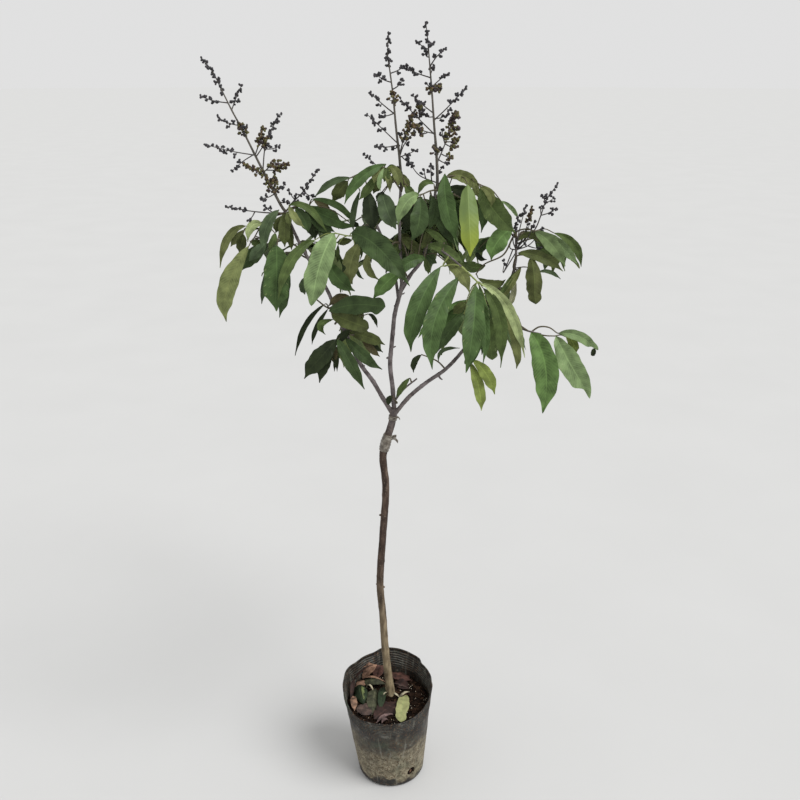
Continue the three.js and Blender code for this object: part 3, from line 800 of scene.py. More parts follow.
def blade_faces():
    """Faces of a leaflet, and for each its part: 0 upper side, 1 underside, 2 rib or margin."""
    rows, columns = len(ROWS), len(COLUMNS)
    count = rows * columns
    faces, parts = [], []
    for row in range(rows - 1):
        for column in range(columns - 1):
            a = row * columns + column
            quad = (a, a + 1, a + columns + 1, a + columns)
            middle_strip = column == columns // 2 - 1
            faces += [quad, tuple(corner + count for corner in reversed(quad))]
            parts += [2, 2] if middle_strip else [0, 1]
    ring = [*range(columns), *[row * columns + columns - 1 for row in range(1, rows)]]
    ring += [*range(count - 2, count - columns - 1, -1)]
    ring += [row * columns for row in range(rows - 2, 0, -1)]
    for start, end in zip(ring, [*ring[1:], ring[0]]):
        faces.append((start, start + count, end + count, end))
        parts.append(0)
    return faces, parts


BLADE_FACES, BLADE_PARTS = blade_faces()
BLADE_MARKS = np.tile(np.repeat(ROWS, len(COLUMNS)), 2).tolist()


def add_blade(sheaf, surface, tone):
    """Puts one leaflet in a sheaf; a tone is its (upper side, underside, rib) materials."""
    sheaf.add(np.concatenate(surface), BLADE_FACES, [tone[part] for part in BLADE_PARTS], BLADE_MARKS)


# Leaflets and stalks that the photograph shows. Places are pixels of the photograph, widths
# are pixels across, and depths are millimetres of y: the crown's front is at about -160.
Leaflet = namedtuple(
    "Leaflet", "base tip width depth tone via roll fold bites tip_width fullness",
    defaults=(None, 0, 27, (), 0.38, 1.9))
Spray = namedtuple("Spray", "stem leaflets stalk", defaults=("twig",))

SPRAYS = {
    "left_foliage": (
        Spray(((286, 214, 14), (273, 213, 5), (263, 223, -5), (254, 238, -8)), (
            Leaflet((249, 246), (224.5, 321.6), 19, (-8, 0), "olive", (228, 285.5), 180),
            Leaflet((266, 243), (248.8, 261), 11, (-12, -12), "blue", roll=180),
            Leaflet((264, 245.5), (249.5, 241), 7, (0, -4), "moss"),
            Leaflet((279, 210), (264, 251), 11.5, (0, -12), "blue", (266.3, 227), tip_width=0.8),
            Leaflet((275, 233), (268, 250), 6.5, (-6, -10), "moss", (273, 241)),
            Leaflet((268, 245), (240, 270), 16, (12, 30), "deep", (252, 256)),
        )),
        Spray(((284, 213, 15), (269, 218, 22), (257, 225, 28), (246, 228, 30)), (
            Leaflet((246, 226), (219.4, 268), 8, (28, 30), "olive", (228.5, 237)),
            Leaflet((263, 226), (246.5, 242), 9, (15, 12), "pale", (252.5, 225.5)),
            Leaflet((244, 230), (230, 246), 7.5, (32, 38), "olive"),
            Leaflet((262, 229.5), (247, 240), 2.5, (20, 18), "painted_shade", (252, 230)),
            Leaflet((243, 234), (238.5, 253), 10, (26, 26), "bronze", (241.5, 243)),
        )),
        Spray(((285, 216, 16), (281, 229, 6), (278, 239, -8), (277, 247, -17)), (
            Leaflet((276.5, 245), (274.5, 311), 26, (-18, -20), "green", (276.5, 278), fullness=2.9),
            Leaflet((287, 262), (280.4, 318), 12, (10, 20), "deep", (284, 290)),
            Leaflet((267, 268), (261.3, 304), 6, (15, 20), "blue"),
            Leaflet((284, 213), (284.5, 247), 12, (5, 0), "bronze"),
            Leaflet((288.5, 220), (292, 250), 7, (12, 16), "bronze", (290, 236)),
            Leaflet((281, 216), (275.5, 233), 9, (8, 6), "bronze"),
            Leaflet((287, 212), (290, 226), 6, (-2, -6), "bronze"),
        )),
        Spray(((287, 210, 14), (297, 206, 18), (309, 206, 22)), (
            Leaflet((312, 199), (356, 226), 6.5, (12, 10), "green", (338, 206)),
            Leaflet((306, 207), (357, 228), 16, (15, 15), "green", (331, 218),
                    bites=((-1, 0.74, 0.85, 0.15),), tip_width=0.35),
            Leaflet((349, 222), (360, 227.5), 5, (5, 5), "painted_shade", (354.5, 224)),
            Leaflet((289, 205), (327, 234), 7, (10, 5), "moss", (309, 209)),
            Leaflet((289, 206), (304, 228), 7, (3, -7), "olive", (294.5, 217)),
            Leaflet((295, 208), (309, 233), 12, (8, 2), "deep", (304, 219)),
            Leaflet((305, 210), (327, 237), 14, (24, 22), "deep", (317, 221)),
            Leaflet((314, 200), (330, 208), 8, (25, 27), "brown"),
            Leaflet((308, 213), (313, 238), 9, (20, 18), "painted_shade"),
            Leaflet((308, 211), (335, 230), 12, (20, 18), "deep", (321, 224)),
            Leaflet((310, 216), (316, 240), 9, (24, 20), "painted_shade"),
        )),
    ),
    "centre_foliage": (
        Spray(((400.5, 246, -2), (385, 238, 8), (366, 233, 6), (351, 236, 0), (337, 233.5, -13)), (
            Leaflet((351, 233), (410, 286), 25, (-5, -75), "deep", (376.5, 246)),
            Leaflet((359.5, 243), (350.5, 284.5), 17, (0, 0), "olive", (350.5, 264),
                    bites=((1, 0.62, 0.6, 0.07),)),
            Leaflet((334, 233), (312.5, 306), 24, (-15, -40), "sage", (319.5, 266), fold=36,
                    tip_width=0.75, fullness=2.8),
            Leaflet((328, 260), (354.8, 291.4), 16, (-5, 0), "green", (337.5, 277.5)),
            Leaflet((357, 262), (363.6, 279.6), 3.5, (5, 5), "deep", (357.5, 272)),
            Leaflet((371, 250), (379.6, 280.6), 8, (5, 5), "olive", (367.5, 267)),
            Leaflet((315, 240), (277.4, 299), 11, (-8, -30), "moss", (291.5, 260)),
            Leaflet((352, 240), (336, 243), 7, (15, 20), "bronze"),
            Leaflet((338, 245), (337.5, 262), 4, (12, 14), "moss"),
        ), "green"),
        Spray(((408, 279, 0), (404, 268, -12), (410, 257, -25), (424, 257, -38)), (
            Leaflet((425.5, 258), (396.5, 276), 13, (-40, -60), "green", (409, 262.5)),
            Leaflet((425, 258), (429, 274), 6, (-36, -30), "moss"),
            Leaflet((424, 229), (449, 252), 7, (-20, -60), "moss", (439, 238)),
            Leaflet((428, 244), (463, 263), 11, (-36, -78), "moss", (446, 251)),
            Leaflet((402, 271), (373.5, 298.5), 15, (-20, -20), "bright", (386, 283)),
            Leaflet((400, 238), (424, 258), 10, (0, -20), "bronze", (412, 245)),
            Leaflet((410, 236), (397, 268), 15, (10, 0), "bronze", (399, 245)),
            Leaflet((414, 228), (425, 250), 8, (6, 2), "bronze", (421, 238)),
            Leaflet((420, 246), (437, 263), 12, (0, 0), "deep", (428, 257)),
            Leaflet((404, 241), (389, 263), 11, (5, -5), "moss", (395.5, 249)),
        )),
    ),
    "centre_left_foliage": (
        Spray(((400.5, 190, -5), (391, 177, -8), (379, 170, -12), (364, 172, -8), (350, 178, -5)), (
            Leaflet((351, 178), (315, 198), 6.5, (-5, 0), "blue", (331, 183)),
            Leaflet((348, 181), (333, 202), 13, (5, 20), "bronze", (340, 190)),
            Leaflet((386, 164), (343.5, 204), 10.5, (-12, -40), "green", (360.5, 178.5)),
            Leaflet((377, 175), (359, 200), 8.5, (-8, -15), "moss", (368.5, 188)),
            Leaflet((360, 191), (353, 231), 6, (5, 0), "blue", (353.8, 212), fold=40),
            Leaflet((368, 190), (374.5, 230.5), 16, (-10, -30), "painted_shade", (370.5, 211), 180),
            Leaflet((382, 192), (396, 229.5), 18, (-12, -50), "blue", (387.5, 211)),
            Leaflet((379, 174), (374, 194), 10, (0, 5), "bronze"),
            Leaflet((384, 192), (376, 201), 7, (-14, -18), "painted_shade"),
            Leaflet((384, 168), (380, 191), 4.5, (-25, -32), "sage", (379.5, 180)),
            Leaflet((390, 166), (399, 186), 9, (-14, -20), "olive", (397, 174)),
            Leaflet((387, 171), (390, 187), 6, (-16, -22), "olive"),
            Leaflet((386, 168), (375, 183), 10, (-14, -20), "olive", (377.5, 174)),
            Leaflet((387, 168), (385, 182), 8, (-18, -20), "moss"),
            Leaflet((399, 170), (386, 172), 6, (-12, -16), "lime", (392, 169)),
            Leaflet((398, 166), (401, 181), 6, (-4, -4), "bronze"),
            Leaflet((398, 174), (386, 169), 6, (-10, -14), "moss", (393, 168)),
            Leaflet((397, 178), (391, 192), 6, (-12, -18), "olive", (390, 181)),
        )),
        Spray(((401, 192, -5), (404, 184, -12), (408, 186, -18)), (
            Leaflet((402, 174), (409, 190), 8, (-8, -10), "olive"),
            Leaflet((405, 186), (414, 196), 8, (-10, -14), "moss"),
        )),
    ),
    "upper_right_foliage": (
        Spray(((437, 190, -15), (430, 191, -24), (421, 195, -34)), (
            Leaflet((419, 195), (396.5, 225), 14, (-35, -60), "mist", (406, 203), fold=32),
            Leaflet((420, 197), (413, 241), 18, (-40, -60), "deep", (419.5, 219)),
            Leaflet((430, 194), (455.5, 248), 13, (-20, -30), "deep", (441, 219)),
            Leaflet((412, 205), (405, 233), 13, (0, 0), "painted_shade"),
            Leaflet((434, 184), (418, 196), 5.5, (-18, -20), "moss", (424, 183.5)),
            Leaflet((432, 197), (428, 229), 11, (-26, -30), "deep", (434, 213)),
            Leaflet((429, 226), (421, 249), 9, (-22, -24), "bronze", (428, 238)),
        )),
        Spray(((436.5, 192, -15), (441, 181, -14), (450, 176, -4), (466, 178, 6), (481, 185, 14)), (
            Leaflet((445, 174), (458, 242), 17, (-22, -40), "green", (447, 207)),
            Leaflet((450, 197), (460, 229), 9, (-18, -28), "deep", (457, 211)),
            Leaflet((446, 177), (481, 194), 11.5, (0, 10), "olive", (465, 177)),
            Leaflet((474, 182), (477.5, 197), 6, (-6, -10), "olive"),
            Leaflet((449, 187), (478, 195), 11, (12, 22), "painted_shade", (462, 191)),
            Leaflet((467.5, 184), (471.2, 256.5), 18.5, (-20, -60), "turning", roll=180, fullness=3.6),
            Leaflet((480, 192), (481, 233), 9.5, (20, 20), "deep", (484, 210)),
            Leaflet((480, 187), (492, 207), 8, (-2, -4), "olive", (490, 194)),
            Leaflet((480, 187), (515.5, 233), 22, (10, 0), "moss", (494.5, 211)),
            Leaflet((501, 201), (519, 220), 4, (30, 40), "sage", (511.5, 208)),
        )),
        Spray(((426, 255, -1), (429, 246, 2), (434, 238, 4)), (
            Leaflet((426, 240), (451, 259), 7, (0, 5), "bronze", (438, 247.5)),
            Leaflet((452, 247), (464, 266), 6, (5, 15), "moss", (459, 255)),
            Leaflet((440, 221), (457, 252), 9, (4, 8), "green", (450, 237)),
            Leaflet((445, 261), (470, 293), 13, (-52, -118), "olive", (460, 272)),
        )),
    ),
    "front_right_foliage": (
        Spray(
            ((443, 266, -75), (450, 264.8, -78), (458, 265.6, -82), (467, 271.5, -90), (477.5, 282, -98)), (
            Leaflet((440.5, 267), (408.4, 352), 21, (-75, -130), "green", (418, 308)),
            Leaflet((466, 302), (453, 314), 10, (-60, -62), "bronze"),
            Leaflet((464, 314), (435, 353), 13, (-60, -70), "deep", (450, 331)),
        ), "green"),
        Spray(((477.5, 282, -98), (470, 275.4, -97), (463, 275.4, -96), (459.5, 277, -96)), (
            Leaflet((459.5, 277), (432, 369.7), 22, (-96, -160), "green", (435, 320)),
            Leaflet((476, 285), (466.3, 372), 22, (-100, -165), "green", (473.5, 326)),
            Leaflet((479, 286), (484, 364), 9, (-95, -150), "green", (485.5, 325)),
            Leaflet((483, 288), (499, 367.5), 14, (-99, -120), "moss", (500, 320), tip_width=0.25),
            Leaflet((481, 283), (524.5, 358), 11, (-99, -100), "pale", (508.5, 309), fold=34),
            Leaflet((505, 312), (517, 369), 9, (-92, -96), "olive", (516, 345)),
            Leaflet((489, 316), (491.5, 360), 14, (-80, -80), "moss", bites=((-1, 0.76, 0.3, 0.04),),
                    tip_width=2),
        ), "green"),
    ),
    "right_low_foliage": (
        Spray(((462, 350, 10), (467, 355, -8), (471, 360, -28)), (
            Leaflet((470, 362), (481, 410.8), 12, (-30, -60), "lime", (479, 388)),
            Leaflet((473, 360), (495, 394.4), 13, (-32, -52), "lime", (487, 375)),
        )),
        Spray(((445, 368.5, 8), (438.5, 362, 4), (431, 358, 0), (421.5, 354.5, -4)), (
            Leaflet((421.5, 355), (413.8, 372.6), 6.5, (-4, -8), "painted_shade", (414.5, 362)),
            Leaflet((438.5, 361), (460, 348.2), 4, (2, 0), "blue", (443, 350.5)),
        )),
    ),
    "far_right_foliage": (
        Spray(((522.4, 329, -10), (531.5, 332, -16), (544.8, 335.5, -20), (555, 336, -22)), (
            Leaflet((531, 332.5), (543, 413.5), 26, (-18, -60), "bright", (545.5, 367), fullness=2.6),
            Leaflet((556, 336), (591, 398), 24, (-22, -60), "sage", (571.5, 366),
                    bites=((1, 0.92, 0.9, 0.12),), tip_width=1.2),
            Leaflet((566, 337), (576.5, 354), 10, (-14, -12), "lime", (573, 343)),
        )),
        Spray(((531.5, 332, -16), (539, 327, -14), (549, 327.5, -16), (557, 333, -20)), (
            Leaflet((558, 333.5), (597, 351), 11, (-20, -20), "sage", (579.5, 336.5),
                    bites=((1, 0.9, 0.6, 0.08),), tip_width=1.4),
            Leaflet((594.5, 348), (592.5, 356), 5, (-20, -20), "painted_shade", tip_width=2),
        )),
    ),
    "right_foliage": (
        Spray(((516.5, 232, 25), (525, 229, 22), (535, 231, 14)), (
            Leaflet((535, 232), (566, 266), 14, (10, 0), "mist", (551.5, 244)),
            Leaflet((545, 233), (579, 265), 11, (20, 20), "sage", (561, 246)),
            Leaflet((554, 233), (581, 267), 9, (35, 40), "moss", (574, 245)),
            Leaflet((518, 241), (544, 246), 6, (20, 10), "bronze", (530, 235)),
            Leaflet((537, 243), (553, 257), 7, (15, 14), "moss"),
        )),
        Spray(((513.5, 268, 22), (517, 256, 18), (527, 255, 12)), (
            Leaflet((518, 253), (563.5, 271), 11, (10, 10), "bronze", (541, 257)),
            Leaflet((531, 256), (534, 304), 17, (5, 0), "bronze", (534.5, 281), 160, tip_width=2),
            Leaflet((538, 272), (560.4, 279.5), 4, (30, 40), "blue", (550, 272)),
            Leaflet((516, 282), (511, 306), 6, (25, 15), "straw", (513, 295)),
        )),
        Spray(((516, 236, 24), (513, 231, 18), (509, 230, 12)), (
            Leaflet((512, 228), (489, 259.5), 19, (10, 0), "bright", (498, 241)),
            Leaflet((490, 238), (475, 253), 10, (20, 20), "deep"),
            Leaflet((477, 250), (487, 260), 5, (22, 20), "painted_shade", (479, 257)),
        )),
        Spray(((517, 270, 20), (511, 280, 14), (500, 299, 10)), (
            Leaflet((521, 268), (501, 300), 7, (16, 8), "olive", (512, 283), fold=50),
            Leaflet((515, 272), (499, 297), 5, (14, 6), "moss", (506, 286), fold=50),
        )),
        Spray(((514, 236, 24), (503.6, 254.6, 20), (484, 264.5, 16), (476, 274, 12)), (
            Leaflet((485, 266), (462, 262), 11, (20, 20), "moss", (472, 267)),
            Leaflet((478, 278), (506, 280), 8, (15, 15), "bronze", (494, 284)),
        )),
    ),
    "lower_left_foliage": (
        Spray(((344, 330, 5), (338, 320, 2), (331, 312, -3)), (
            Leaflet((329, 311), (385, 308), 19, (-5, -30), "deep", (357, 304.5), tip_width=2.2),
            Leaflet((331, 313), (369, 328), 17, (0, -26), "bronze", (349, 321), tip_width=2),
            Leaflet((333, 319.5), (326, 334), 7, (0, 5), "moss", (320.5, 325)),
            Leaflet((350, 297), (329, 307), 8, (5, 0), "brown", (338, 298)),
            Leaflet((368, 314), (377, 327.5), 4, (0, 0), "painted_shade", (374, 318)),
        )),
        Spray(((329, 308.5, 8), (327.5, 305, 10), (326.5, 304, 12)), (
            Leaflet((325, 304), (295.5, 356), 5.5, (12, 20), "painted_shade", (305.5, 325.5)),
            Leaflet((328, 309), (311.7, 344.5), 5, (8, 10), "painted_shade", (317, 326.5)),
        )),
        Spray(((329, 308, 8), (319, 301.5, 9), (309, 291.6, 10), (306, 280, 12)), (
            Leaflet((306, 277), (305.5, 294.5), 9, (12, 10), "blue", (303.5, 286)),
            Leaflet((312, 281), (311, 293), 4.5, (14, 12), "painted_shade"),
        )),
        Spray(((345, 331, 5), (341, 336, -5), (337, 341, -10)), (
            Leaflet((337, 339), (302.5, 377.5), 19, (-10, -30), "painted_shade", (320, 358)),
            Leaflet((350, 330), (335, 343), 8, (-2, -8), "painted_shade"),
            Leaflet((334, 342), (320.5, 383), 15, (-5, -15), "painted_shade", (324.5, 360)),
            Leaflet((334, 345), (333, 363), 9, (0, 0), "brown"),
            Leaflet((335, 350), (334.5, 371.5), 3, (0, 0), "painted_shade"),
            Leaflet((338, 345), (337, 362), 6, (4, 4), "moss"),
            Leaflet((338, 350), (336.8, 371.5), 3, (4, 4), "painted_shade"),
            Leaflet((337, 339), (364.6, 389.4), 13, (-12, -50), "deep", (350, 362)),
        )),
        Spray(((345, 331, 5), (348, 333, -2), (350, 335, -6)), (
            Leaflet((346, 338), (381.5, 370.6), 12, (-5, -25), "deep", (361.5, 354.5)),
            Leaflet((349, 332), (385.4, 344.5), 12, (0, 5), "bronze", (367, 337)),
            Leaflet((362, 340), (379.5, 357), 7, (4, 4), "brown"),
            Leaflet((364, 338), (382, 352.5), 6, (8, 8), "painted_shade"),
        )),
        Spray(((411, 381, -6), (410.5, 379, -7), (409.5, 378, -7)), (
            Leaflet((409.5, 378), (396.5, 397.8), 6.5, (-7, -10), "moss", (402, 387.5)),
        )),
        Spray(((397, 403, 0), (394.5, 399.5, -8), (392, 396, -9)), (
            Leaflet((392, 396), (389, 405), 6, (-9, -10), "painted_shade", (389, 399.5), tip_width=1),
        )),
    ),
}
CROWN_MIDDLE = 15  # leaflets in front of this depth arch towards the camera, those behind it away
ARCH = 0.07  # of a leaflet's length
SHOWN = 0.98  # a drawn width's share, as a width in pixels takes in the picture's soft edge
FOLD_SHOWN = 0.82  # the share of its fold by which a leaflet looks narrower
PETIOLULE_FOOT = 0.95
PETIOLULE_RADIUS = 0.75
SHORTEST_PETIOLULE = 0.5
SPRAY_STEM_POINTS = 24
STALK_RADIUS = 1.15
STALK_FOOT = STALK_RADIUS * 1.25
STALK_END = STALK_RADIUS * 0.8


# What one mass of foliage is made with: its two sheaves, the wood to grow from, the leaf and twig
# materials, the screen and the source of random numbers
Mass = namedtuple("Mass", "leaves stalks wood tones twigs screen rng")


def place_leaflet(mass, leaflet):
    """Puts one leaflet of the photograph on its three points; returns its base."""
    base = photo_point(*leaflet.base, leaflet.depth[0])
    tip = photo_point(*leaflet.tip, leaflet.depth[1])
    length = np.linalg.norm(tip - base)
    middle_depth = sum(leaflet.depth) / 2
    outward = -1 if middle_depth < CROWN_MIDDLE else 1
    via = leaflet.via or np.add(leaflet.base, leaflet.tip) / 2
    middle = photo_point(*via, middle_depth + outward * ARCH * length)
    to_camera = unit(CAMERA_PLACE - middle)
    facing = turned(to_camera, tip - base, leaflet.roll + mass.rng.uniform(-5, 5))
    shown = leaflet.width * pixel_size(middle_depth) * SHOWN
    width = min(shown / math.cos(math.radians(FOLD_SHOWN * leaflet.fold)), LARGEST_LEAFLET)
    shape = Shape(
        (base, middle, tip), facing, width, leaflet.fold, leaflet.bites, leaflet.tip_width,
        leaflet.fullness)
    surface = blade_surface(shape, mass.rng)
    add_blade(mass.leaves, surface, mass.tones[leaflet.tone])
    mass.screen.show(surface[0])
    return base


def join_petiolule(stalks, stem, base, material):
    """The short stalk from a compound leaf's stem to a leaflet's base."""
    foot = nearest(stem, base)
    reach = np.linalg.norm(base - foot)
    if reach > SHORTEST_PETIOLULE:
        bend = (foot + base) / 2 + UP * 0.12 * reach
        path = smooth_curve((foot, bend, base), 4)
        tube(stalks, path, tapered(PETIOLULE_FOOT, PETIOLULE_RADIUS), 6, material)


def place_spray(mass, spray):
    """One spray of the photograph, on a stem that leaves the nearest wood."""
    points = [photo_point(*spot) for spot in spray.stem]
    points.insert(0, nearest(mass.wood, points[0]))
    stem = resampled(smooth_curve(points), SPRAY_STEM_POINTS)
    material = mass.twigs[spray.stalk]
    tube(mass.stalks, stem, tapered(STALK_FOOT, STALK_END), 7, material)
    for leaflet in spray.leaflets:
        join_petiolule(mass.stalks, stem, place_leaflet(mass, leaflet), material)


# Leaves that the photograph doesn't show grow by one rule: compound leaves leave the wood round a
# mass's heart and carry leaflets in turn on their two sides. Only a leaflet that the photograph's
# own leaves hide from its camera stays, so the sky shows through the same gaps.
Fan = namedtuple("Fan", "heart count reach")
FANS = {
    "left_foliage": Fan((-156, 12, 985), 7, 92),
    "lower_left_foliage": Fan((-82, -6, 838), 5, 60),
    "centre_left_foliage": Fan((14, -8, 1030), 7, 88),
    "centre_foliage": Fan((2, -16, 958), 5, 80),
    "upper_right_foliage": Fan((72, -12, 1026), 7, 90),
    "front_right_foliage": Fan((96, -98, 942), 5, 70),
    "right_low_foliage": Fan((118, -2, 797), 3, 60),
    "far_right_foliage": Fan((227, -20, 827), 4, 60),
    "right_foliage": Fan((194, 22, 958), 6, 85),
    "back_left_foliage": Fan((-26, 112, 975), 12, 90),
    "back_right_foliage": Fan((108, 112, 970), 12, 90),
    "back_low_foliage": Fan((146, 76, 862), 8, 76),
}
# Grown leaflets mostly take lighter tones than their shaded places inside the crown would give: painted
# light, standing in for the light that comes through the leaves and bounces between them.
GROWN_TONES = ("green", "green", "bright", "bright", "moss", "olive", "mist", "deep", "sage")
TRIES = 600  # at one compound leaf after another, for each mass
FEWEST_LEAFLETS = 2
LEAFLET_HIDDEN = 0.995  # the share of a leaflet that has to be hidden
STEM_HIDDEN = 0.88
PROUD = 8  # how far a leaflet may stand out of the frame's box
GROWN_LENGTH = (78, 114)
GROWN_WIDTH = (0.26, 0.33)  # as a share of the length
GROWN_FOLD = (14, 32)
GROWN_DROOP = (0.5, 0.85)
GROWN_STEM_POINTS = 20
HEART_STALK = 6  # a mass whose heart lies farther than this from the wood gets a twig to it
SPRAY_SEED = 11  # of the first mass; each next mass has the next number
FAN_SEED = 51


def grown_leaflet(foot, out, handed, rng):
    """The shape of one leaflet of a grown compound leaf; handed is its side, or 0 at the end."""
    side = np.array([-out[1], out[0], 0])
    length = rng.uniform(*GROWN_LENGTH)
    heading = unit(out * rng.uniform(0.35, 0.7) + side * handed * rng.uniform(0.35, 0.75))
    droop = rng.uniform(*GROWN_DROOP)
    base = foot + heading * 4 + UP * 1.5
    tip = base + heading * length * math.sqrt(1 - droop * droop) - UP * length * droop
    middle = (base + tip) / 2 + (heading * 0.6 + UP * 0.75) * length * rng.uniform(0.08, 0.17)
    middle = middle + np.cross(heading, UP) * length * rng.uniform(-0.05, 0.05)
    facing = unit(heading * 0.7 + UP * 0.6 + out * 0.2)
    width = length * rng.uniform(*GROWN_WIDTH)
    return Shape((base, middle, tip), facing, width, rng.uniform(*GROWN_FOLD))


def in_frame(points):
    """Whether points lie in the frame's box, or hardly out of it."""
    low, high = np.array(cad_box) / MM
    return (points > low - PROUD).all() and (points < high + PROUD).all()


def grow_compound_leaf(mass, foot, azimuth, reach):
    """Grows one compound leaf, if enough of it stays hidden; tells whether it did."""
    rng = mass.rng
    out = level_direction(azimuth)
    length = reach * rng.uniform(0.4, 0.75)
    rise = rng.uniform(4, 18)
    top, end = foot + out * length * 0.5 + UP * rise, foot + out * length + UP * (rise - 12)
    stem = resampled(smooth_curve((foot, top, end)), GROWN_STEM_POINTS)
    tone = mass.tones[GROWN_TONES[rng.integers(len(GROWN_TONES))]]
    count = int(rng.integers(4, 7))
    kept = []
    for index in range(count):
        joint = stem[round((0.35 + 0.65 * (index + 1) / count) * (GROWN_STEM_POINTS - 1))]
        handed = 0 if index == count - 1 else (1 if index % 2 else -1)
        shape = grown_leaflet(joint, out, handed, rng)
        surface = blade_surface(shape, rng)
        if mass.screen.hides(surface[0]) >= LEAFLET_HIDDEN and in_frame(surface[0]):
            kept.append((shape.spine[0], surface))
    if len(kept) < FEWEST_LEAFLETS or mass.screen.hides(stem[2:]) < STEM_HIDDEN:
        return False
    tube(mass.stalks, stem, tapered(STALK_FOOT, STALK_END), 7, mass.twigs["twig"])
    for base, surface in kept:
        join_petiolule(mass.stalks, stem, base, mass.twigs["twig"])
        add_blade(mass.leaves, surface, tone)
    return True


def grow_fan(mass, fan):
    """Grows a mass's compound leaves round its heart, on the wood near it."""
    heart = np.array(fan.heart, float)
    foot = nearest(mass.wood, heart)
    if np.linalg.norm(heart - foot) > HEART_STALK:
        path = smooth_curve((foot, (foot + heart) / 2 + UP * 3, heart))
        tube(mass.stalks, path, tapered(1.9, 1.5), 8, mass.twigs["twig"])
    near = mass.wood[np.linalg.norm(mass.wood - heart, axis=1) < fan.reach * 0.7]
    feet = np.concatenate([near, heart[None]])
    grown = 0
    for _ in range(TRIES):
        start = feet[int(mass.rng.integers(len(feet)))]
        azimuth = mass.rng.uniform(0, 2 * math.pi)
        grown += grow_compound_leaf(mass, start, azimuth, fan.reach)
        if grown == fan.count:
            break


def build_foliage(paths, tones):
    """Every mass of foliage: first all leaves that the photograph shows, then the grown ones."""
    twigs = {
        "twig": soft_material("leaf_stalk", "4c4530", 0.6),
        "green": soft_material("green_leaf_stalk", "7f8a4a", 0.5),
    }
    wood = np.concatenate(list(paths.values()))
    screen = Screen()
    masses = {}
    for number, name in enumerate(FANS):
        rng = np.random.default_rng(SPRAY_SEED + number)
        masses[name] = Mass(Sheaf(), Sheaf(), wood, tones, twigs, screen, rng)
        for spray in SPRAYS.get(name, ()):
            place_spray(masses[name], spray)
    for number, (name, fan) in enumerate(FANS.items()):
        mass = masses[name]._replace(rng=np.random.default_rng(FAN_SEED + number))
        grow_fan(mass, fan)
        mass.leaves.finish(f"{name}_leaves", name, "leaf", sharp=60)
        mass.stalks.finish(f"{name}_stalks", name, "leaf")


